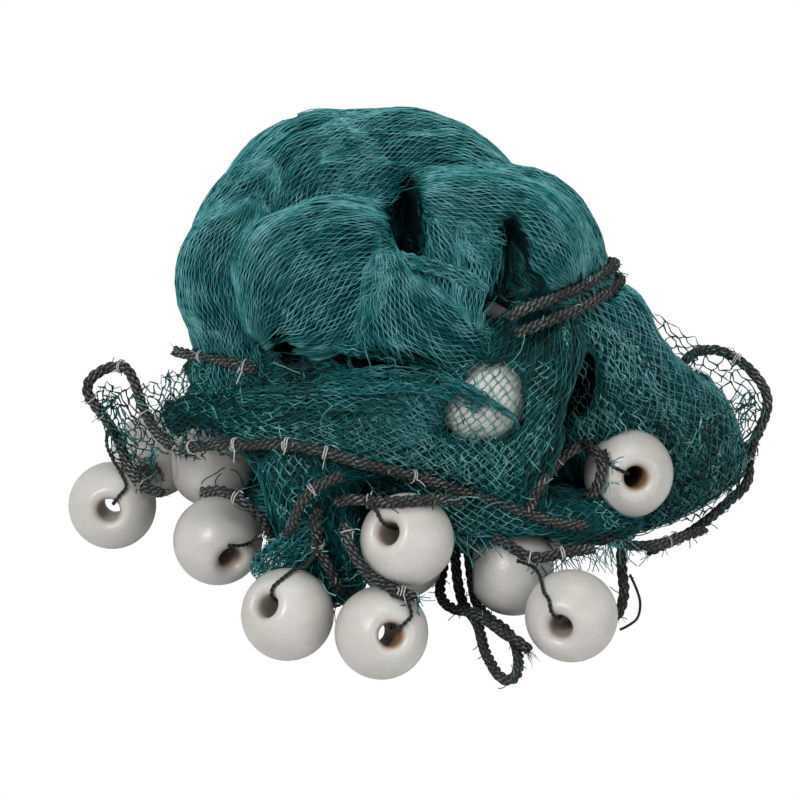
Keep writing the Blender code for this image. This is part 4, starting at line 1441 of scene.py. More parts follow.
class Finish(Enum):
    """The finishes."""

    TWINE = TwineFinish("twine", (0.0003, 0.014, 0.016), (0.001, 0.145, 0.150), (0.20, 0.46, 0.48))
    OPEN_TWINE = TwineFinish("open_twine", (0.0015, 0.006, 0.007), (0.003, 0.150, 0.150), (0.30, 0.62, 0.60))
    DEPTH = DepthFinish("net_depth", (0.0003, 0.006, 0.007), (0.002, 0.085, 0.088))
    ROPE = RopeFinish("rope_yarn", (0.0006, 0.0011, 0.0012), (0.17, 0.19, 0.18), 260.0)
    TIE = RopeFinish("tie_cord", (0.003, 0.0045, 0.0045), (0.075, 0.085, 0.08), 700.0)
    LASHING = RopeFinish("white_lashing", (0.50, 0.52, 0.51), (0.88, 0.89, 0.87), 900.0)
    PLASTIC = PlasticFinish("float_shell", (0.50, 0.49, 0.465), (0.42, 0.41, 0.38), (0.30, 0.27, 0.22),
                            (0.26, 0.145, 0.07))


# ---------------------------------------------------------------------------------------------
# The heap that the netting lies on
# ---------------------------------------------------------------------------------------------


@dataclass
class FoldSurface:
    """The oval tube of one fold.

    Attributes:
        fold: The fold.
        step: How far apart the tube's stations are.
    """

    fold: Fold
    step: float = 8.0

    def __post_init__(self) -> None:
        """Work out the stations' places, sizes and ways."""
        spine = np.array(self.fold.spine, dtype=float)
        sizes = np.array(self.fold.half_sizes, dtype=float)
        stops = np.vstack([spine[0] + unit(spine[0] - spine[1]) * sizes[0][1] * 0.8, spine,
                           spine[-1] + unit(spine[-1] - spine[-2]) * sizes[-1][1] * 0.8])
        self.track = smooth_route(stops, self.step)
        legs = mileage(stops)
        self.places = np.linspace(0, 1, len(self.track))
        self.length = legs[-1]
        rows = np.vstack([sizes[0] * 0.25, sizes, sizes[-1] * 0.25])
        self.half = np.stack([np.interp(self.places, legs / legs[-1], rows[:, axis])
                              for axis in (0, 1)], axis=1)
        ahead = unit(np.gradient(self.track, axis=0))
        self.side = unit(np.cross(ahead, unit(np.array(self.fold.faces, dtype=float))[None]))
        self.face = np.cross(self.side, ahead)

    def girth(self) -> float:
        """Measure the way round the fold at its widest."""
        return float(math.pi * self.half.sum(axis=1).max())

    def grid(self, angles: Array, pleat: float = 0.0, swell: Array | float = 1.0) -> tuple[Array, Array]:
        """Work out points on the tube.

        Args:
            angles: The angle of each column at each station, or of each column.
            pleat: How deep its pleats are.
            swell: How many times its own size it is, for all or for each column.

        Returns:
            The points, in metres, and the ways out of the tube, by station and column.
        """
        angles = np.broadcast_to(angles, (len(self.track), np.shape(angles)[-1]))
        pleats = max(4, round(self.girth() / 28))
        wave = pleat * np.cos(pleats * angles + 0.8 * np.sin(3 * math.pi * self.places)[:, None])
        across = np.cos(angles)[..., None] * self.side[:, None]
        out = np.sin(angles)[..., None] * self.face[:, None]
        points = (self.track[:, None] + across * (self.half[:, :1] * swell + wave)[..., None]
                  + out * (self.half[:, 1:] * swell + wave)[..., None])
        return to_frame(points), unit(across + out)

    def places_of(self, points: Array) -> tuple[Array, Array]:
        """Find where points lie on the fold.

        Args:
            points: The points.

        Returns:
            How far out each is, as a share of the fold's size, and its place round and along it.
        """
        nearest = ((points[:, None] - self.track[None]) ** 2).sum(axis=2).argmin(axis=1)
        reach = points - self.track[nearest]
        across = (reach * self.side[nearest]).sum(axis=1) / self.half[nearest, 0]
        out = (reach * self.face[nearest]).sum(axis=1) / self.half[nearest, 1]
        ahead = np.cross(self.face[nearest], self.side[nearest])
        along = self.places[nearest] * self.length + (reach * ahead).sum(axis=1)
        size = self.girth() / math.tau
        return np.hypot(across, out), np.stack([np.arctan2(out, across) * size, along], axis=1)


@dataclass
class Core:
    """The heap's dark core, painted as shade deep in the heap: its folds grown together and shrunk to lie
    under the twine.

    Attributes:
        rope_tracks: Each rope's track, in metres.
        voxel: How fine its skin is.
        pleat: How deep its pleats are.
        sides: How many sides a fold's tube has.
        shrink: How far it lies inside its folds.
        ease: How many rounds of smoothing the grown folds get.
        opened_floats: The floats that it is cut away round.
        float_room: How much room it leaves them.
        rope_room: How far from a rope's middle its skin lies.
        floor_gap: How far off the floor it stays.
    """

    rope_tracks: Sequence[Array]
    voxel: float = 5.0
    pleat: float = 5.0
    sides: int = 96
    shrink: float = 2.4
    ease: int = 26
    opened_floats: tuple[int, ...] = (9,)
    float_room: float = 4.0
    rope_room: float = 7.5
    floor_gap: float = 0.6

    def build(self, finish: Material) -> Item:
        """Build the core.

        Args:
            finish: Its material.

        Returns:
            The core's object.
        """
        bm = bmesh.new()
        for fold in FOLDS.values():
            if not fold.loose:
                self._add_fold(bm, FoldSurface(fold))
        heap = self._remeshed(self._item(bm, "net_depth"), self.ease)
        guides = self._guides()
        for guide in guides:
            step = heap.modifiers.new(guide.name, "BOOLEAN")
            step.operation = "DIFFERENCE"
            step.solver = "MANIFOLD"
            step.object = guide
        heap = self._applied(heap)
        for guide in guides:
            bpy.data.objects.remove(guide, do_unlink=True)
        heap = self._remeshed(heap, 2)
        self._settle(heap.data)
        heap.data.materials.clear()
        heap.data.materials.append(finish)
        heap.data.shade_smooth()
        return stand_in(heap, Slot.TWINE, "netting")

    @staticmethod
    def _item(bm: bmesh.types.BMesh, name: str) -> Item:
        """Turn a bmesh into an object with its faces outwards.

        Args:
            bm: The bmesh, which is freed.
            name: The object's name.

        Returns:
            The object.
        """
        bmesh.ops.recalc_face_normals(bm, faces=bm.faces)
        mesh = bpy.data.meshes.new(name)
        bm.to_mesh(mesh)
        bm.free()
        return link(name, mesh)

    @staticmethod
    def _applied(item: Item) -> Item:
        """Apply an object's modifiers.

        Args:
            item: The object, which is replaced.

        Returns:
            The new object.
        """
        graph = bpy.context.evaluated_depsgraph_get()
        mesh = bpy.data.meshes.new_from_object(item.evaluated_get(graph), depsgraph=graph)
        name = item.name
        bpy.data.objects.remove(item, do_unlink=True)
        return link(name, mesh)

    def _remeshed(self, item: Item, smooth: int) -> Item:
        """Give an object an even skin.

        Args:
            item: The object, which is replaced.
            smooth: How many rounds of smoothing it gets.

        Returns:
            The new object.
        """
        skin = item.modifiers.new("skin", "REMESH")
        skin.mode = "VOXEL"
        skin.voxel_size = self.voxel * MM
        item.modifiers.new("ease", "SMOOTH").iterations = smooth
        return self._applied(item)

    def _add_fold(self, bm: bmesh.types.BMesh, surface: FoldSurface) -> None:
        """Add a fold's tube with closed ends.

        Args:
            bm: What it is added to.
            surface: The fold's surface.
        """
        grid, _ = surface.grid(np.arange(self.sides) * math.tau / self.sides, self.pleat)
        rings = [[bm.verts.new(point) for point in row] for row in grid]
        for ring, following in zip(rings, rings[1:]):
            for number in range(self.sides):
                ahead = (number + 1) % self.sides
                bm.faces.new((ring[number], ring[ahead], following[ahead], following[number]))
        bm.faces.new(rings[0])
        bm.faces.new(rings[-1])

    def _guides(self) -> list[Item]:
        """Make the shapes that are cut out of the core.

        Returns:
            A bent ball with pointed ends for each deep crease, and a ball for each opened float.
        """
        guides = []
        for tuck in TUCKS:
            place = (Matrix.Translation(to_frame(tuck.centre))
                     @ (Matrix.Rotation(math.radians(-TUCK_PITCH), 4, "X")
                        @ Matrix.Rotation(math.radians(tuck.lean), 4, "Y"))
                     @ Matrix.Diagonal((*(size * MM for size in tuck.half_sizes), 1.0)))
            along = 0 if tuck.half_sizes[0] > tuck.half_sizes[2] else 2
            across = 2 - along
            bm = bmesh.new()
            bmesh.ops.create_icosphere(bm, subdivisions=4, radius=1.0)
            for vert in bm.verts:
                reach = vert.co[along] ** 2
                vert.co[across] = vert.co[across] * math.sqrt(max(0.02, 1 - reach)) + tuck.bend * reach
            bmesh.ops.transform(bm, matrix=place, verts=bm.verts)
            guides.append(self._item(bm, "crease"))
        for number in self.opened_floats:
            bm = bmesh.new()
            bmesh.ops.create_icosphere(bm, subdivisions=4, radius=(SHELL.radius + self.float_room) * MM,
                                       matrix=Matrix.Translation(to_frame(FLOATS[number].middle())))
            guides.append(self._item(bm, "crease"))
        return guides

    def _settle(self, mesh: Mesh) -> None:
        """Draw the core in, roughen it, and keep it off the floor and the ropes.

        Args:
            mesh: The core's mesh.
        """
        points, normals = (read_vectors(mesh.vertices, name) for name in ("co", "normal"))
        points -= normals * (self.shrink + 0.9 * ripple(points, 0.018, 3)[:, None]) * MM
        reach = np.concatenate(self.rope_tracks)
        for start in range(0, len(points), 4000):
            block = points[start:start + 4000]
            square = ((block[:, None] - reach[None]) ** 2).sum(axis=2)
            sink = np.clip(self.rope_room * MM - np.sqrt(square.min(axis=1)), 0, None)
            block -= normals[start:start + 4000] * sink[:, None] * 1.6
        points[:, 2] = np.maximum(points[:, 2], self.floor_gap * MM)
        mesh.vertices.foreach_set("co", points.astype(np.float32).ravel())
        mesh.update()

    @staticmethod
    def mark(mesh: Mesh, openness: Array) -> None:
        """Give the core its shade, and places round and along the folds for its thread pattern.

        Args:
            mesh: The core's mesh.
            openness: How open to the light each vertex is.
        """
        add_shade(mesh, openness)
        centres = read_vectors(mesh.polygons, "center") / MM - TABLE_SHIFT
        points = read_vectors(mesh.vertices, "co") / MM - TABLE_SHIFT
        surfaces = [FoldSurface(fold) for fold in FOLDS.values() if not fold.loose]
        owner = np.argmin([surface.places_of(centres)[0] for surface in surfaces], axis=0)
        corners, face_of, _ = read_corners(mesh)
        spots = np.empty((len(corners), 2))
        for number, surface in enumerate(surfaces):
            chosen = np.flatnonzero(owner[face_of] == number)
            if len(chosen):
                _, place = surface.places_of(points[corners[chosen]])
                _, middle = surface.places_of(centres[face_of[chosen]])
                girth = surface.girth()
                place[:, 0] += girth * np.round((middle[:, 0] - place[:, 0]) / girth)
                spots[chosen] = place * MM
        layer = mesh.uv_layers.get("UVMap") or mesh.uv_layers.new(name="UVMap")
        layer.data.foreach_set("uv", spots.astype(np.float32).ravel())


@dataclass
class HeapSurface:
    """The heap's core, the floats and the ropes, for the netting to lie on.

    Attributes:
        mesh: The core's mesh.
        rope_tracks: Each rope's track, in metres.
        rays: How many ways each face of the core looks for light.
        reach: How far off it looks, in metres.
        cell: The size of the boxes that space is sorted into, in metres.
    """

    mesh: Mesh
    rope_tracks: Sequence[Array]
    rays: int = 12
    reach: float = 0.06
    cell: float = 0.012

    def __post_init__(self) -> None:
        """Gather what the netting meets, and how open to the light the core is."""
        points = read_vectors(self.mesh.vertices, "co")
        faces = [tuple(face.vertices) for face in self.mesh.polygons]
        self.tree = BVHTree.FromPolygons([Vector(point) for point in points], faces)
        self.openness, self.point_openness = self._eased(self._openness())
        self.centres = np.array([to_frame(item.middle()) for item in FLOATS.values()])
        self.rope_points = np.concatenate(self.rope_tracks)
        self.rope_cells = np.unique(np.concatenate([
            self._cells(self.rope_points + way * np.array(shift) * self.cell)
            for way in (1, -1) for shift in np.ndindex(3, 3, 3)]))

    def _cells(self, points: Array) -> Array:
        """Number the small box of space that each point is in."""
        spots = np.floor(points / self.cell).astype(int) + 200
        return spots[..., 0] * 1_000_000 + spots[..., 1] * 1000 + spots[..., 2]

    def _openness(self) -> Array:
        """Work out how much of the sky each face of the core sees.

        Returns:
            A value from 0 to 1 for each face.
        """
        centres, normals = (read_vectors(self.mesh.polygons, name) for name in ("center", "normal"))
        spots = np.arange(self.rays) + 0.5
        lean = np.sqrt(spots / self.rays) * 0.94
        turn = spots * math.pi * (3 - math.sqrt(5))
        local = np.stack([lean * np.cos(turn), lean * np.sin(turn), np.sqrt(1 - lean ** 2)], axis=1)
        side = unit(np.cross(normals, np.where(np.abs(normals[:, 2:]) < 0.9, [[0.0, 0, 1]], [[1.0, 0, 0]])))
        up = np.cross(normals, side)
        seen = np.zeros(len(centres))
        starts = centres + normals * 2 * MM
        for ray in local:
            ways = side * ray[0] + up * ray[1] + normals * ray[2]
            seen += [self.tree.ray_cast(start, way, self.reach)[0] is None
                     for start, way in zip(starts, ways)]
        return seen / self.rays

    def _eased(self, values: Array) -> tuple[Array, Array]:
        """Smooth a value over the core's faces.

        Args:
            values: One value for each face.

        Returns:
            The smoothed values of the faces, and those of the vertices.
        """
        corners, owner, totals = read_corners(self.mesh)
        count = len(self.mesh.vertices)
        weight = np.maximum(np.bincount(corners, minlength=count), 1)
        for _ in range(2):
            at_points = np.bincount(corners, values[owner], count) / weight
            values = np.bincount(owner, at_points[corners], len(totals)) / totals
        return values, at_points

    def nearest(self, points: Array) -> tuple[Array, Array, Array, Array]:
        """Find the core's surface next to each point.

        Args:
            points: The points.

        Returns:
            The nearest places, the ways out there, the signed distances and the openness.
        """
        flat = points.reshape(-1, 3)
        places, normals = np.empty_like(flat), np.empty_like(flat)
        light = np.empty(len(flat))
        for index, point in enumerate(flat):
            place, normal, face, _ = self.tree.find_nearest(point)
            places[index], normals[index], light[index] = place, normal, self.openness[face]
        height = ((flat - places) * normals).sum(axis=1)
        shape = points.shape
        return (places.reshape(shape), normals.reshape(shape), height.reshape(shape[:-1]),
                light.reshape(shape[:-1]))

    def first_met(self, start: Array, way: Array) -> tuple[float, int]:
        """Find what is met first along a line.

        Args:
            start: Where the line starts.
            way: The way it goes.

        Returns:
            How far off it is, and the float's number, 0 for the heap or -1 for nothing.
        """
        hit, _, _, distance = self.tree.ray_cast(Vector(start), Vector(way))
        best, met = (distance, 0) if hit is not None else (np.inf, -1)
        for number, centre in zip(FLOATS, self.centres):
            reach = start - centre
            along = reach.dot(way)
            spare = along ** 2 - reach.dot(reach) + (SHELL.radius * MM) ** 2
            if spare > 0 and -along - math.sqrt(spare) < best:
                best, met = -along - math.sqrt(spare), number
        return best, met

    def sink_under_ropes(self, points: Array, outward: Array, clear: float) -> Array:
        """Press points that a rope lies on into the heap.

        Args:
            points: The points.
            outward: The way out of the heap at each.
            clear: How far from a rope's middle they must be, in metres.

        Returns:
            The pressed points.
        """
        flat = points.reshape(-1, 3).copy()
        chosen = np.flatnonzero(np.isin(self._cells(flat), self.rope_cells))
        for spots in np.array_split(chosen, max(1, len(chosen) // 3000)):
            out = outward.reshape(-1, 3)[spots]
            reach = flat[spots][:, None] - self.rope_points[None]
            square = (reach ** 2).sum(axis=2)
            rows, nearest = np.arange(len(spots)), square.argmin(axis=1)
            forward = (reach[rows, nearest] * out).sum(axis=1)
            least = square[rows, nearest]
            press = forward + np.sqrt(np.maximum(clear ** 2 - least + forward ** 2, 0.0))
            press = np.where(least < clear ** 2, np.minimum(press, 2 * clear), 0.0)
            flat[spots] -= out * press[:, None]
        return flat.reshape(points.shape)

    def clear_floats(self, points: Array, gap: float, depth: float) -> tuple[Array, Array]:
        """Push points off the floats.

        Args:
            points: The points.
            gap: How far off a float's skin they must be, in metres.
            depth: How deep in a float a point may be pushed from, in metres.

        Returns:
            The pushed points, and whether each is worth keeping.
        """
        moved = points.copy()
        keep = np.ones(points.shape[:-1], dtype=bool)
        skin = SHELL.radius * MM
        for centre in self.centres:
            reach = moved - centre
            distance = np.linalg.norm(reach, axis=-1)
            inside = distance < skin + gap
            keep &= ~(distance < skin - depth)
            moved[inside] = centre + unit(reach[inside]) * (skin + gap)
        return moved, keep


# ---------------------------------------------------------------------------------------------
# Netting
# ---------------------------------------------------------------------------------------------


def interleaved(values: Array, middles: Array) -> Array:
    """Put middles between an array's columns.

    Args:
        values: The array.
        middles: One column fewer, to go between.

    Returns:
        The joined array.
    """
    made = np.empty((values.shape[0], 2 * values.shape[1] - 1, *values.shape[2:]), dtype=values.dtype)
    made[:, ::2], made[:, 1::2] = values, middles
    return made


@dataclass
class Netting:
    """Builds the netting's twine.

    Attributes:
        surface: What it lies on.
        camera_place: Where it is seen from in front, in metres.
        snap: How far off the core a fold's surface may be and still be drawn on to it.
        bury: How deep in the core it may be.
        slip: How much further off than the next one a point of a laid route may be.
        rope_gap: How far under a rope it is pressed.
        float_gap: How far off a float it lies.
        float_depth: How deep in a float a point may be and still be pushed out of it.
        floor_gap: How far off the floor it stays.
        bunch_light: How open to the light a loose bunch is.
        heap_ends: How many loose lengths of twine lie on the heap.
        rope_ends: How many there are for each point of a rope's track.
        end_radius: Their radius.
        flat_ratio: The area of a stretch laid out flat, as a multiple of its twine's surface.
        cut_shape: How many times as wide as long it is cut. Not used.
        stated_share: A flat area, as a share of that area. Not used. It is a chosen
            value, and it isn't measured from a cut.
        netted_floats: The floats that open mesh is draped over.
        opened: The pieces of open mesh.
        pieces: The meshes by name.
    """

    surface: HeapSurface
    camera_place: Array
    snap: float = 8.5
    bury: float = 15.0
    slip: float = 14.0
    rope_gap: float = 0.9
    float_gap: float = 1.0
    float_depth: float = 9.0
    floor_gap: float = 1.0
    bunch_light: float = 0.85
    heap_ends: int = 230
    rope_ends: float = 0.30
    end_radius: float = 0.45
    flat_ratio: float = 1.75
    cut_shape: float = 1.5
    stated_share: float = 0.383
    netted_floats: tuple[int, ...] = (9, 10)
    opened: tuple[str, ...] = ("net_apron", "net_ears", "net_belly", "net_skirt_open")
    pieces: dict[str, MeshParts] = field(default_factory=dict)

    @staticmethod
    def layers(fold: Fold) -> tuple[Layer, ...]:
        """Choose a fold's layers of twine.

        Args:
            fold: The fold.

        Returns:
            The layers, from the outermost in.
        """
        if fold.piece in ("net_inner", "net_back"):
            return BACK[:1] if fold.piece == "net_inner" else BACK
        if fold.loose:
            return FRONT[:2]
        return MESH if fold.ragged else FRONT

    def laid(self, fold: Fold) -> Fold:
        """Lay a loose bunch on what is behind it, as seen from the front."""
        moved = self.laid_route(fold.spine, np.array(fold.half_sizes)[:, 1] * 0.5)
        return replace(fold, spine=tuple(map(tuple, moved)))

    def laid_route(self, route: Iterable[Sequence[float]], lift: float | Array) -> Array:
        """Lay a route on what is behind it, as seen from the front.

        Args:
            route: The route.
            lift: How far off it lies.

        Returns:
            The route on the heap.
        """
        ways = unit(to_frame(route) - self.camera_place)
        reach = np.array([self.surface.first_met(self.camera_place, way)[0] for way in ways])
        for _ in range(len(reach)):
            near = np.minimum(np.r_[reach[1:], np.inf], np.r_[np.inf, reach[:-1]])
            reach = np.minimum(reach, near + self.slip * MM)
        moved = self.camera_place + ways * (reach - np.asarray(lift) * MM)[:, None]
        return moved / MM - TABLE_SHIFT

    def wrap(self, fold: Fold, layer: Layer) -> None:
        """Wrap a fold in a layer of netting, where it shows.

        Args:
            fold: The fold.
            layer: The layer.
        """
        chance = np.random.default_rng(SEED + layer.seed * 97 + len(fold.spine) * 7)
        tube = FoldSurface(fold, layer.row)
        columns = 2 * max(6, round(tube.girth() / layer.column / 2))
        angles = np.arange(columns)[None] * math.tau / columns
        angles = angles + 0.05 * np.sin(tube.places[:, None] * 9 + layer.seed)
        flat, _ = tube.grid(angles)
        angles = angles + 1.7 * ripple(flat, 0.026, layer.seed + 11) / (tube.girth() / math.tau)
        angles = angles + fold.twist * tube.places[:, None]
        if fold.loose:
            nodes, normals = tube.grid(angles, swell=chance.uniform(0.45, 1.0, size=columns)[None])
            _, _, height, light = self.surface.nearest(nodes)
            keep = height > -2.5 * MM
            nodes += normals * layer.height * MM * 0.3
            light = np.full_like(light, self.bunch_light)
        else:
            flat, outward = tube.grid(angles)
            places, normals, height, light = self.surface.nearest(flat)
            keep = (height < self.snap * MM) & (height > -self.bury * MM)
            keep &= (normals * outward).sum(axis=-1) > -0.1
            rise = layer.height * MM * (1 + 0.35 * ripple(flat, 0.012, layer.seed + 5))
            nodes = places + normals * rise[..., None]
            for _ in range(2):
                nodes[1:-1] = nodes[1:-1] * 0.5 + (nodes[:-2] + nodes[2:]) * 0.25
        keep &= ripple(nodes, 0.022, layer.seed + 61) < 1.5 - 1.6 * fold.ragged
        nodes += chance.normal(scale=(0.2 + fold.ragged) * MM, size=nodes.shape)
        nodes = self.surface.sink_under_ropes(nodes, normals, (ROPE.radius + self.rope_gap) * MM)
        nodes, clear = self.surface.clear_floats(nodes, self.float_gap * MM, self.float_depth * MM)
        nodes[..., 2] = np.maximum(nodes[..., 2], self.floor_gap * MM)
        # Lighter random patches are painted highlight; the core's openness darkens twine in creases and
        # hollows as painted shade.
        highlight_patch = np.clip(ripple(nodes, 0.032, 77) + 0.5 * ripple(nodes, 0.009, 78), 0.0, 1.2)
        shade = layer.shade * (0.86 + 0.12 * ripple(nodes, 0.02, layer.seed + 31)) + 0.30 * highlight_patch
        light = light ** 1.3 * np.clip((light - 0.12) / 0.3, 0, 1) ** 1.5
        self._add_lattice(fold.piece, nodes, normals, keep & clear, fold.shade * shade * light,
                          layer.radius, chance, longest=2.6 * layer.row)

    def _add_lattice(self, piece: str, nodes: Array, outward: Array, keep: Array, shade: Array,
                     radius: float, chance: np.random.Generator, opened: float = 0.0,
                     longest: float = 22.0) -> None:
        """Run lengths of twine from knot to knot of a grid.

        Args:
            piece: The piece that they belong to.
            nodes: The grid's points; every other one is a knot.
            outward: The way out at each.
            keep: Which points may be used.
            shade: How light the twine is at each.
            radius: The twine's radius.
            chance: Where the unevenness comes from.
            opened: How far the middle of a bar strays, for open mesh, whose grid doesn't go round.
            longest: How long a bar may be.
        """
        rows, columns = keep.shape
        row = np.arange(rows)[None]
        starts = np.arange(0, columns, 2)[:, None]
        for way in (1, -1):
            column = starts + way * (row % 2)
            inside = np.ones(column.shape, dtype=bool)
            if opened:
                inside = (column >= 0) & (column < columns)
                column = np.clip(column, 0, columns - 1)
            column = column % columns
            places = nodes[row, column]
            out, kept = outward[row, column], keep[row, column] & inside
            ahead = unit(np.gradient(places, axis=1))
            lean = np.where(row % 2 == 0, way, -way)[..., None] * radius * 0.5 * MM
            places = places + unit(np.cross(out, ahead)) * lean
            strand = chance.normal(scale=0.12, size=(len(starts), 1))
            tone = np.clip(shade[row, column] + strand + chance.normal(scale=0.17, size=column.shape), 0, 1)
            far = np.linalg.norm(np.diff(places, axis=1), axis=2) > longest * MM
            kept[:, 1:] &= ~far
            radii = np.full(column.shape, radius * MM)
            if opened:
                places, out, kept, tone, radii = self._with_middles(
                    places, out, kept, tone, radii, opened, chance)
            self.pieces.setdefault(piece, MeshParts()).strands(places, kept, out, tone, radii)

    @staticmethod
    def _with_middles(places: Array, out: Array, kept: Array, tone: Array, radii: Array,
                      stray: float, chance: np.random.Generator) -> tuple[Array, ...]:
        """Put a slack middle in each bar and a thicker knot at its ends.

        Args:
            places: The knots of each length of twine.
            out: The way out at each.
            kept: Which may be used.
            tone: How light the twine is at each.
            radii: Its radius at each.
            stray: How far a middle strays.
            chance: Where the unevenness comes from.

        Returns:
            The same five arrays with the middles between the knots.
        """
        sag = chance.normal(scale=stray * MM, size=(*kept[:, 1:].shape, 3))
        middles = (places[:, :-1] + places[:, 1:]) / 2 + sag
        middles[..., 2] -= stray * 0.5 * MM
        return (interleaved(places, middles), interleaved(out, (out[:, :-1] + out[:, 1:]) / 2),
                interleaved(kept, kept[:, :-1] & kept[:, 1:]),
                interleaved(tone, (tone[:, :-1] + tone[:, 1:]) / 2),
                interleaved(radii * 1.7, radii[:, 1:] * 0.9))

    def spread(self, net: OpenNet, order: int) -> None:
        """Spread a stretch of open mesh.

        Args:
            net: The stretch.
            order: Its place in the table.
        """
        chance = np.random.default_rng(SEED + 500 + order)
        rows = np.array([smooth_row(row, 2 * net.across) for row in net.rows])
        grid = np.array([smooth_row(rows[:, column], 2 * net.down) for column in range(rows.shape[1])])
        nodes = to_frame(grid.transpose(1, 0, 2))
        outward = np.broadcast_to(np.array([0.0, -0.85, 0.53]), nodes.shape).copy()
        wander = np.stack([ripple(nodes, 0.05, order * 3 + axis) for axis in range(3)], axis=-1)
        nodes += wander * net.slack * 1.6 * MM + chance.normal(scale=net.slack * 0.5 * MM, size=nodes.shape)
        keep = chance.uniform(size=nodes.shape[:2]) > net.torn
        if net.draped:
            nodes, covered = self._drape(nodes, net)
            keep &= ~covered
        nodes, _ = self.surface.clear_floats(nodes, 1.3 * MM, 1.0)
        shade = np.full(nodes.shape[:2], net.shade)
        self._add_lattice(net.piece, nodes, outward, keep, shade, net.twine, chance, opened=net.slack * 0.6)

    def _drape(self, nodes: Array, net: OpenNet) -> tuple[Array, Array]:
        """Lay a grid of points on what is behind them.

        Args:
            nodes: The points.
            net: The stretch of open mesh that they belong to.

        Returns:
            The points on the heap or the covered float, and which lie on another float or nothing.
        """
        place_seen = to_frame(net.seen_from) if net.seen_from else self.camera_place
        laid = nodes.copy()
        covered = np.zeros(nodes.shape[:2], dtype=bool)
        ahead = unit(nodes - place_seen)
        for place in np.ndindex(nodes.shape[:2]):
            best, number = self.surface.first_met(place_seen, ahead[place])
            covered[place] = number not in (0, *self.netted_floats)
            if np.isfinite(best):
                laid[place] = place_seen + ahead[place] * (best - net.lift * MM)
        for _ in range(3):
            eased = laid.copy()
            eased[1:-1] = laid[1:-1] * 0.5 + (laid[:-2] + laid[2:]) * 0.25
            laid[:, 1:-1] = eased[:, 1:-1] * 0.5 + (eased[:, :-2] + eased[:, 2:]) * 0.25
        return laid, covered

    def loose_ends(self, ropes: Sequence[Array], finish: Material) -> Item:
        """Strew short loose lengths of twine over the heap and along the ropes.

        Args:
            ropes: The ropes' tracks, in metres.
            finish: Their material.

        Returns:
            Their object.
        """
        chance = np.random.default_rng(SEED + 900)
        parts = MeshParts()
        centres, normals = (read_vectors(self.surface.mesh.polygons, name) for name in ("center", "normal"))
        low = (centres[:, 2] < 0.235) & (centres[:, 1] < 0.02) & (self.surface.openness > 0.35)
        low &= centres[:, 0] < 0.11
        for face in chance.choice(np.flatnonzero(low), self.heap_ends):
            self._strew(parts, centres[face] + normals[face] * 4 * MM, normals[face], chance,
                        chance.uniform(14, 42), chance.choice([0.05, 0.5, 0.8, 1.0]))
        for track in ropes:
            for _ in range(max(4, round(len(track) * self.rope_ends))):
                place = track[chance.integers(len(track))]
                away = unit(chance.normal(size=3) + np.array([0.0, -0.6, 0.1]))
                self._strew(parts, place + away * ROPE.radius * MM, away, chance,
                            chance.uniform(4, 13), chance.choice([0.0, 0.1, 0.6, 0.9]))
        for fringe in FRINGES:
            first, last = to_frame(fringe.start), to_frame(fringe.end)
            for _ in range(fringe.count):
                place = first + (last - first) * chance.uniform() + chance.normal(scale=MM, size=3)
                way = unit(np.array(fringe.way) + chance.normal(scale=0.4, size=3))
                self._strew(parts, place, way, chance, chance.uniform(0.3, 1.0) * fringe.longest,
                            chance.choice([0.1, 0.5, 0.75, 0.9]), curl=0.5)
        parts.tube(to_frame(smooth_route(STRAY_CORD, 2.0)), 1.2 * MM, 5, 0.0)
        return stand_in(parts.build("net_loose_ends", finish), Slot.TWINE)

    def _strew(self, parts: MeshParts, place: Array, away: Array, chance: np.random.Generator,
               length: float, shade: float, curl: float = 1.0) -> None:
        """Add one loose length of twine.

        Args:
            parts: What it is added to.
            place: Where it starts.
            away: The way it leaves.
            chance: Where its shape comes from.
            length: How long it is.
            shade: How light it is.
            curl: How much it bends.
        """
        count = max(4, round(length / 3.5))
        way = unit(away + chance.normal(scale=0.9 * curl, size=3))
        turn = chance.normal(scale=0.22 * curl, size=3)
        points = [place]
        for _ in range(count):
            way = unit(way + turn + chance.normal(scale=0.12, size=3) + [0, 0, -0.05])
            points.append(points[-1] + way * length / count * MM)
        track = np.array(points)
        track[:, 2] = np.maximum(track[:, 2], 0.8 * MM)
        track, _ = self.surface.clear_floats(track, 0.6 * MM, 1.0)
        parts.tube(track, self.end_radius * MM, 3, shade)

    def build(self, materials: dict[Finish, Material], ends: Item) -> list[Item]:
        """Args:
            materials: The materials.
            ends: The loose ends of twine. Not used.

        Returns:
            The pieces of netting.
        """
        made = []
        for name, parts in self.pieces.items():
            opened = name in self.opened
            item = parts.build(name, materials[Finish.OPEN_TWINE if opened else Finish.TWINE])
            flat_area = self.flat_ratio * parts.area()
            made.append(stand_in(item, Slot.TWINE, "netting"))
        return made


# ---------------------------------------------------------------------------------------------
# Ropes, ties and lashings
# ---------------------------------------------------------------------------------------------


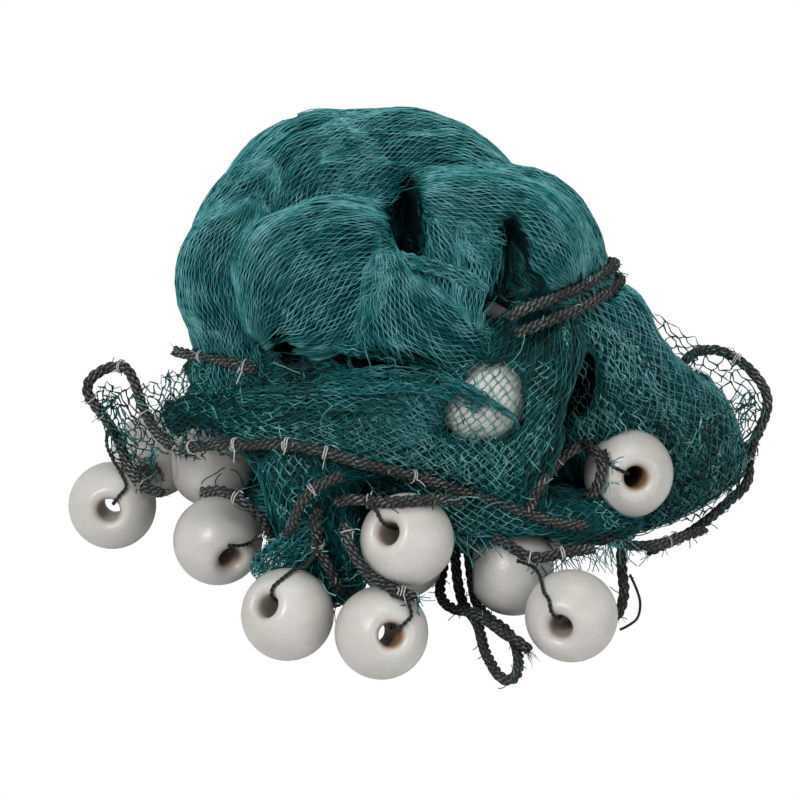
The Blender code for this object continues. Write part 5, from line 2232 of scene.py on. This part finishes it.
@dataclass
class RopeWork:
    """Lays up ropes, tie cords and lashings from strands.

    Attributes:
        materials: The materials.
        gap: How far a tie lies off its float.
        seat: How far it lies off its rope.
        hitch: How far it runs along its rope.
        track_step: How far apart the points of a rope's track are, where a tie looks for it.
        cut_ends: The length and number of fibres at the end of a fixed rope.
        tail_ends: The same at the end of the free tail.
        fibre: The radius of a fibre at its root.
        thread: How far the middle of a lashing's thread lies off its rope.
        thread_radius: The thread's radius.
        turns: How many turns a lashing may have.
        chance: Where the unevenness comes from.
    """

    materials: dict[Finish, Material]
    gap: float = 0.9
    seat: float = 0.4
    hitch: float = 10.0
    track_step: float = 2.0
    cut_ends: tuple[float, int] = (9.0, 10)
    tail_ends: tuple[float, int] = (14.0, 18)
    fibre: float = 0.35
    thread: float = 0.6
    thread_radius: float = 0.62
    turns: tuple[float, ...] = (1.1, 1.4, 2.1)
    chance: np.random.Generator = field(default_factory=lambda: np.random.default_rng(SEED))

    @staticmethod
    def tracks(step: float) -> list[Array]:
        """Follow every rope but the tie cords, in points a step apart."""
        return [smooth_route(route, step) for route in (*ROPES.values(), *LOOSE_ROPES.values())]

    def _lay_up(self, parts: MeshParts, route: Iterable[Sequence[float]], lay: Lay) -> Array:
        """Add a rope of twisted strands.

        Args:
            parts: What it is added to.
            route: The rope's route.
            lay: How it is laid up.

        Returns:
            The rope's track, in metres.
        """
        track = smooth_route(route, lay.step)
        side, up = track_frames(track)
        strand_radius = lay.radius * lay.fill
        offset = lay.radius - strand_radius
        along = np.arange(len(track)) * lay.step
        for strand in range(lay.strands):
            turn = along * math.tau / lay.pitch + strand * math.tau / lay.strands
            middle = track + (side * np.cos(turn)[:, None] + up * np.sin(turn)[:, None]) * offset
            shade = 0.6 + 0.35 * float(self.chance.uniform(-1, 1))
            parts.tube(to_frame(middle), strand_radius * MM, lay.sides, shade)
        return to_frame(track)

    def _fray(self, parts: MeshParts, end: Array, ahead: Array, length: float, count: int) -> None:
        """Add a rope end's loose fibres.

        Args:
            parts: What they are added to.
            end: The rope's end, in metres.
            ahead: The way it points.
            length: How long the fibres are.
            count: How many there are.
        """
        for _ in range(count):
            spread = unit(ahead + self.chance.normal(scale=0.35, size=3))
            start = end + self.chance.normal(scale=1.4 * MM, size=3) - ahead * 4 * MM
            reach = length * MM * self.chance.uniform(0.5, 1.0)
            bend = self.chance.normal(scale=0.18, size=3)
            share = np.linspace(0, 1, 6)[:, None]
            track = start + spread * reach * share + bend * reach * share ** 2
            track[:, 2] = np.maximum(track[:, 2], 0.5 * MM)
            parts.tube(track, np.linspace(self.fibre, self.fibre * 0.4, 6) * MM, 3, 0.4)

    def loose_ropes(self) -> list[Item]:
        """Build the free ropes.

        Returns:
            Their objects.
        """
        made = []
        for name, route in LOOSE_ROPES.items():
            parts = MeshParts()
            track = self._lay_up(parts, route, ROPE)
            looped = name == "loose_loop_rope"
            item = stand_in(parts.build(f"{name}_laid", self.materials[Finish.ROPE]), Slot.ROPE, name)
            ends = []
            if not looped:
                fibres = MeshParts()
                self._fray(fibres, track[-1], unit(track[-1] - track[-2]), *self.tail_ends)
                ends.append(stand_in(fibres.build(f"{name}_frayed", self.materials[Finish.ROPE]), Slot.ROPE))
            made += [item, *ends]
        return made

    def edge_ropes(self) -> list[Item]:
        """Build the ropes along the net's edge and the tie ropes.

        Returns:
            Their objects.
        """
        made = []
        for name, route in ROPES.items():
            parts = MeshParts()
            track = self._lay_up(parts, route, ROPE)
            for end, ahead in ((track[0], track[0] - track[1]), (track[-1], track[-1] - track[-2])):
                self._fray(parts, end, unit(ahead), *self.cut_ends)
            item = parts.build(f"{name}_laid", self.materials[Finish.ROPE])
            made.append(stand_in(item, Slot.ROPE, name))
        return made

    def laid_ropes(self, netting: Netting) -> list[Item]:
        """Build the short ropes that lie on the netting.

        Args:
            netting: The netting.

        Returns:
            Their objects.
        """
        made = []
        for name, route in NETTING_ROPES.items():
            parts = MeshParts()
            self._lay_up(parts, netting.laid_route(smooth_route(route, 6.0), 3.0), ROPE)
            made.append(stand_in(parts.build(name, self.materials[Finish.ROPE]), Slot.ROPE))
        return made

    def ties(self) -> list[Item]:
        """Build the floats' tie cords.

        Returns:
            Their objects.
        """
        made = []
        tracks = self.tracks(self.track_step)
        for tie in TIES:
            parts = MeshParts()
            self._lay_up(parts, self._tie_route(tie, tracks), CORD)
            name = f"float_tie_{tie.number:02d}"
            item = parts.build(f"{name}_laid", self.materials[Finish.TIE])
            made.append(stand_in(item, Slot.ROPE, name))
        return made

    def _tie_route(self, tie: Tie, tracks: Sequence[Array]) -> list[Array]:
        """Work out a tie's whole route.

        Args:
            tie: The tie.
            tracks: The ropes' tracks.

        Returns:
            Points from its rope, along the float, over the lip and down inside the bore.
        """
        item = FLOATS[tie.number]
        centre, axis = item.middle(), item.axis()
        route = self._hitched(np.array(tie.route[0], dtype=float), tracks)
        skin = SHELL.radius + CORD.radius + self.gap
        for point in tie.route[1:]:
            reach = np.array(point, dtype=float) - centre
            route.append(centre + reach * max(1.0, skin / np.linalg.norm(reach)))
        lip_radius, lip_height = SHELL.lip_ring()
        across = route[-1] - centre
        across = unit(across - axis * across.dot(axis))
        bend = SHELL.lip + CORD.radius + self.gap
        for degrees in (85, 115, 145, 180):
            angle = math.radians(degrees)
            route.append(centre + across * (lip_radius + bend * math.cos(angle))
                         + axis * (lip_height + bend * math.sin(angle)))
        for depth in (7.0, 14.0):
            route.append(centre + across * (lip_radius - bend) + axis * (lip_height - depth))
        return route

    def _hitched(self, start: Array, tracks: Sequence[Array]) -> list[Array]:
        """Find where a tie lies along its rope.

        Args:
            start: Where the tie starts, roughly.
            tracks: The ropes' tracks.

        Returns:
            Two points on the skin of the nearest rope, one hitch apart.
        """
        reaches = [np.linalg.norm(track[1:-1] - start, axis=1) for track in tracks]
        nearest = int(np.argmin([reach.min() for reach in reaches]))
        track, index = tracks[nearest], int(reaches[nearest].argmin()) + 1
        points = []
        for spot in (max(1, index - round(self.hitch / self.track_step)), index):
            along = unit(track[spot + 1] - track[spot - 1])
            off = start - track[index]
            off = unit(off - along * off.dot(along))
            points.append(track[spot] + off * (ROPE.radius + CORD.radius + self.seat))
        return points

    def lashings(self) -> Item:
        """Build the white lashings round the edge rope.

        Returns:
            Their object.
        """
        parts = MeshParts()
        for name, shares in LASHINGS.items():
            track = smooth_route(ROPES[name], 1.0)
            side, up = track_frames(track)
            for share in shares:
                self._lash(parts, track, side, up, round(share * (len(track) - 1)))
        return stand_in(parts.build("white_lashings", self.materials[Finish.LASHING]), Slot.ROPE)

    def _lash(self, parts: MeshParts, track: Array, side: Array, up: Array, middle: int) -> None:
        """Add one lashing: a few turns and two cut ends.

        Args:
            parts: What it is added to.
            track: The rope's track.
            side: The way across it at each point.
            up: The other way across it.
            middle: Which point of the track it is at.
        """
        turns = float(self.chance.choice(self.turns))
        span = 1.9 * turns
        count = round(turns * 14)
        first = self.chance.uniform(0, math.tau)
        spots = np.clip(middle + np.linspace(-span / 2, span / 2, count), 1, len(track) - 2)
        low = spots.astype(int)
        share = (spots - low)[:, None]
        centre = track[low] * (1 - share) + track[low + 1] * share
        angle = first + np.linspace(0, turns * math.tau, count)
        reach = ROPE.radius + self.thread + self.chance.normal(scale=0.15, size=count)
        around = side[low] * np.cos(angle)[:, None] + up[low] * np.sin(angle)[:, None]
        ring = centre + around * reach[:, None]
        parts.tube(to_frame(ring), self.thread_radius * MM, 4, 1.0)
        for end in (0, -1):
            out = unit(ring[end] - centre[end])
            away = unit(out + self.chance.normal(scale=0.7, size=3))
            length = self.chance.uniform(3, 8)
            share = np.linspace(0, 1, 6)[:, None]
            droop = np.array([0.0, -0.2, -0.5]) * length * share ** 2
            tail = ring[end] + away * length * share + droop
            parts.tube(to_frame(tail), np.linspace(0.6, 0.45, 6) * MM, 4, 1.0)


# ---------------------------------------------------------------------------------------------
# Floats
# ---------------------------------------------------------------------------------------------


@dataclass
class FloatWork:
    """Models one ring float and sets a copy at every place.

    Attributes:
        finish: The floats' material.
        sides: How many sides a float has round its bore.
        rings: How many rings its ball has.
        lip_steps: How many rings its lip has.
        bore_steps: How many rings half its bore has.
    """

    finish: Material
    sides: int = 54
    rings: int = 28
    lip_steps: int = 8
    bore_steps: int = 4

    def build(self) -> list[Item]:
        """Build all the floats.

        Returns:
            Their objects.
        """
        pattern = self._model()
        pattern.data.materials.append(self.finish)
        made = [self._placed(pattern, number, item) for number, item in FLOATS.items()]
        bpy.data.objects.remove(pattern, do_unlink=True)
        return made

    def _model(self) -> Item:
        """Model a float with an upright bore: half a ball, its lip and bore, and their mirror.

        Returns:
            The pattern.
        """
        ring, height = SHELL.lip_ring()
        start = math.atan2(height, ring)
        select_nothing()
        bpy.ops.mesh.primitive_uv_sphere_add(
            segments=self.sides, ring_count=self.rings, radius=SHELL.radius * MM, location=(0, 0, 0))
        ball = bpy.context.object
        ball.name = "float_pattern"
        bpy.ops.object.mode_set(mode="EDIT")
        for cut, inner in ((0.0, True), (height + SHELL.lip * math.sin(start), False)):
            bpy.ops.mesh.select_all(action="SELECT")
            bpy.ops.mesh.bisect(plane_co=(0, 0, cut * MM), plane_no=(0, 0, 1),
                                clear_inner=inner, clear_outer=not inner)
        section = [(ring + SHELL.lip * math.cos(angle), height + SHELL.lip * math.sin(angle))
                   for angle in np.linspace(start, math.pi, self.lip_steps)]
        section += [(SHELL.bore, level) for level in np.linspace(height, 0, self.bore_steps + 1)[1:]]
        for (radius, level), (inward, lower) in zip(section, section[1:]):
            bpy.ops.mesh.extrude_edges_move()
            bpy.ops.transform.resize(value=(inward / radius, inward / radius, 1),
                                     center_override=(0, 0, 0))
            bpy.ops.transform.translate(value=(0, 0, (lower - level) * MM))
        bpy.ops.object.mode_set(mode="OBJECT")
        mirror = ball.modifiers.new("mirror", "MIRROR")
        mirror.use_axis = (False, False, True)
        mirror.merge_threshold = 0.02 * MM
        bpy.ops.object.modifier_apply(modifier="mirror")
        bpy.ops.object.mode_set(mode="EDIT")
        bpy.ops.mesh.select_all(action="SELECT")
        bpy.ops.mesh.normals_make_consistent(inside=False)
        bpy.ops.object.mode_set(mode="OBJECT")
        bpy.ops.object.shade_smooth()
        return ball

    def _placed(self, pattern: Item, number: int, item: RingFloat) -> Item:
        """Set one float in place, flat where it stands, stain its bore and paint shade where other floats
        meet it.

        Args:
            pattern: The float that is copied.
            number: Its number.
            item: Its place and bore.

        Returns:
            Its object.
        """
        made = link(f"ring_float_{number:02d}", pattern.data.copy())
        made.data.name = made.name
        points = read_vectors(made.data.vertices, "co")
        depth = 1 - np.clip((np.linalg.norm(points[:, :2], axis=1) / MM - SHELL.bore) / 3.5, 0, 1)
        turn = Vector(item.axis()).to_track_quat("Z", "Y").to_matrix()
        points = points @ np.array(turn).T + to_frame(item.middle())
        points[:, 2] = np.maximum(points[:, 2], 0.0)
        made.data.vertices.foreach_set("co", points.astype(np.float32).ravel())
        # The shade attribute holds the bore's stain and the painted shade where floats meet.
        add_shade(made.data, np.clip(depth * item.stain + self._painted_contact_shade(number, points), 0, 1))
        made.data.update()
        return stand_in(made, Slot.PLASTIC, f"float_{number:02d}")

    @staticmethod
    def _painted_contact_shade(number: int, points: Array) -> Array:
        """Work out the painted shade, in the stain's brown, where a float meets another.

        Args:
            number: The float's number.
            points: Its points, in metres.

        Returns:
            A painted shade value for each point.
        """
        stain = np.zeros(len(points))
        for other, item in FLOATS.items():
            if other != number:
                reach = np.linalg.norm(points - to_frame(item.middle()), axis=-1) / MM
                # Painted shade within a few millimetres of where another float touches.
                stain = np.maximum(stain, np.clip(1 - (reach - SHELL.radius) / 3.2, 0, 1) ** 2 * 0.6)
        return stain


# ---------------------------------------------------------------------------------------------
# Camera and light
# ---------------------------------------------------------------------------------------------


@dataclass(frozen=True)
class Light:
    """An area light.

    Attributes:
        name: Its name.
        place: Where it is, in metres.
        size: Its width, in metres.
        power: Its power, in watts.
    """

    name: str
    place: Triple
    size: float
    power: float

    def build(self) -> None:
        """Add the light, pointed at the heap."""
        data = bpy.data.lights.new(self.name, "AREA")
        data.size = self.size
        data.energy = self.power
        lamp = link(self.name, data)
        lamp.location = self.place
        aim = Vector((0, 0, 0.15)) - Vector(self.place)
        lamp.rotation_euler = aim.to_track_quat("-Z", "Y").to_euler()


@dataclass
class Studio:
    """The camera, the lights and the white surroundings.

    Attributes:
        distance: How far off the camera is, in metres.
        elevation: How far above the level it is, in degrees.
        aim: What it looks at.
        mm_per_pixel: How many millimetres a pixel covers there.
        pixels: How many pixels the picture is wide.
        sensor: The camera's sensor width, in millimetres.
        lights: The lights.
        floor_size: The floor's width, in metres.
        soft: How strong the surroundings' light is.
    """

    distance: float = 2.2
    elevation: float = 32.0
    aim: Triple = (-12.8, 0.0, 158.0)
    mm_per_pixel: float = 0.85
    pixels: int = 800
    sensor: float = 36.0
    lights: tuple[Light, ...] = (Light("key", (-1.2, -1.6, 2.2), 1.0, 57),
                                 Light("top", (0.2, 0.3, 2.4), 1.6, 20),
                                 Light("fill", (1.8, -1.2, 0.9), 1.4, 12))
    floor_size: float = 3.0
    soft: float = 0.42

    def camera_place(self) -> Array:
        """Work out where the camera is, in metres."""
        tilt = math.radians(self.elevation)
        return to_frame(self.aim) + np.array([0.0, -math.cos(tilt), math.sin(tilt)]) * self.distance

    def build(self) -> None:
        """Add the camera, lights, world and floor."""
        data = bpy.data.cameras.new("camera")
        data.sensor_width = self.sensor
        data.lens = self.sensor * (self.distance / MM / self.mm_per_pixel) / self.pixels
        camera = link("camera", data)
        camera.location = self.camera_place()
        camera.rotation_euler = (math.pi / 2 - math.radians(self.elevation), 0, 0)
        bpy.context.scene.camera = camera
        for light in self.lights:
            light.build()
        self._world()
        self._floor()
        bpy.context.scene.view_settings.view_transform = "Standard"

    @staticmethod
    def _white_to_camera(tree: bpy.types.NodeTree, plain: Socket, kind: str, output: str) -> None:
        """Show plain white to the camera, and keep a shader for the light that falls elsewhere.

        Args:
            tree: The node tree.
            plain: The shader that is kept.
            kind: The white shader's type name.
            output: The output node's name.
        """
        shader = Shader(tree)
        bright = shader.node(kind)
        bright.inputs["Color"].default_value = (1.0, 1.0, 1.0, 1.0)
        path = shader.node("ShaderNodeLightPath")
        mix = shader.node("ShaderNodeMixShader")
        shader.link(path.outputs["Is Camera Ray"], mix.inputs["Fac"])
        shader.link(plain, mix.inputs[1])
        shader.link(bright.outputs[0], mix.inputs[2])
        shader.link(mix.outputs["Shader"], tree.nodes[output].inputs["Surface"])

    def _floor(self) -> None:
        """Lay a plain white floor that throws light back up."""
        select_nothing()
        bpy.ops.mesh.primitive_plane_add(size=self.floor_size, location=(0, 0, -0.0005))
        floor = bpy.context.object
        floor.name = "studio_floor"
        material, shader, colour = start_material("studio_floor", 0.9)
        colour.default_value = (0.75, 0.75, 0.75, 1.0)
        main = shader.tree.nodes["Principled BSDF"]
        self._white_to_camera(shader.tree, main.outputs["BSDF"], "ShaderNodeEmission", "Material Output")
        floor.data.materials.append(material)

    def _world(self) -> None:
        """Make the surroundings white to the camera and a soft light to the heap."""
        world = bpy.data.worlds.new("studio")
        bpy.context.scene.world = world
        world.use_nodes = True
        soft = world.node_tree.nodes["Background"]
        soft.inputs["Color"].default_value = (1.0, 1.0, 1.0, 1.0)
        soft.inputs["Strength"].default_value = self.soft
        self._white_to_camera(world.node_tree, soft.outputs["Background"], "ShaderNodeBackground",
                              "World Output")


# ---------------------------------------------------------------------------------------------
# The whole scene
# ---------------------------------------------------------------------------------------------


def report(*pieces: Item) -> None:
    """Log each piece's name and how many faces it has."""
    for piece in pieces:
        LOG.info("%s: %d faces", piece.name, len(piece.data.polygons))


def main() -> None:
    """Build the whole scene."""
    logging.basicConfig(level=logging.INFO, format="%(message)s")
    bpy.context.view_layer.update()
    studio = Studio()
    studio.build()
    groups = SharedGroups()
    materials = {finish: finish.value.make(groups) for finish in Finish}
    ropes = RopeWork(materials)
    report(*ropes.loose_ropes(), *ropes.edge_ropes(), *ropes.ties(), ropes.lashings())
    report(*FloatWork(materials[Finish.PLASTIC]).build())
    rope_tracks = [to_frame(track) for track in RopeWork.tracks(3.0)]
    core = Core(rope_tracks).build(materials[Finish.DEPTH])
    surface = HeapSurface(core.data, rope_tracks)
    Core.mark(core.data, surface.point_openness)
    report(core)
    netting = Netting(surface, studio.camera_place())
    for fold in FOLDS.values():
        if fold.loose:
            fold = netting.laid(fold)
        for layer in Netting.layers(fold):
            netting.wrap(fold, layer)
    for order, net in enumerate(OPEN_NETS):
        netting.spread(net, order)
    report(*ropes.laid_ropes(netting))
    ends = netting.loose_ends(rope_tracks, materials[Finish.OPEN_TWINE])
    report(ends, *netting.build(materials, ends))
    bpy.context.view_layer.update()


if __name__ == "__main__":
    main()
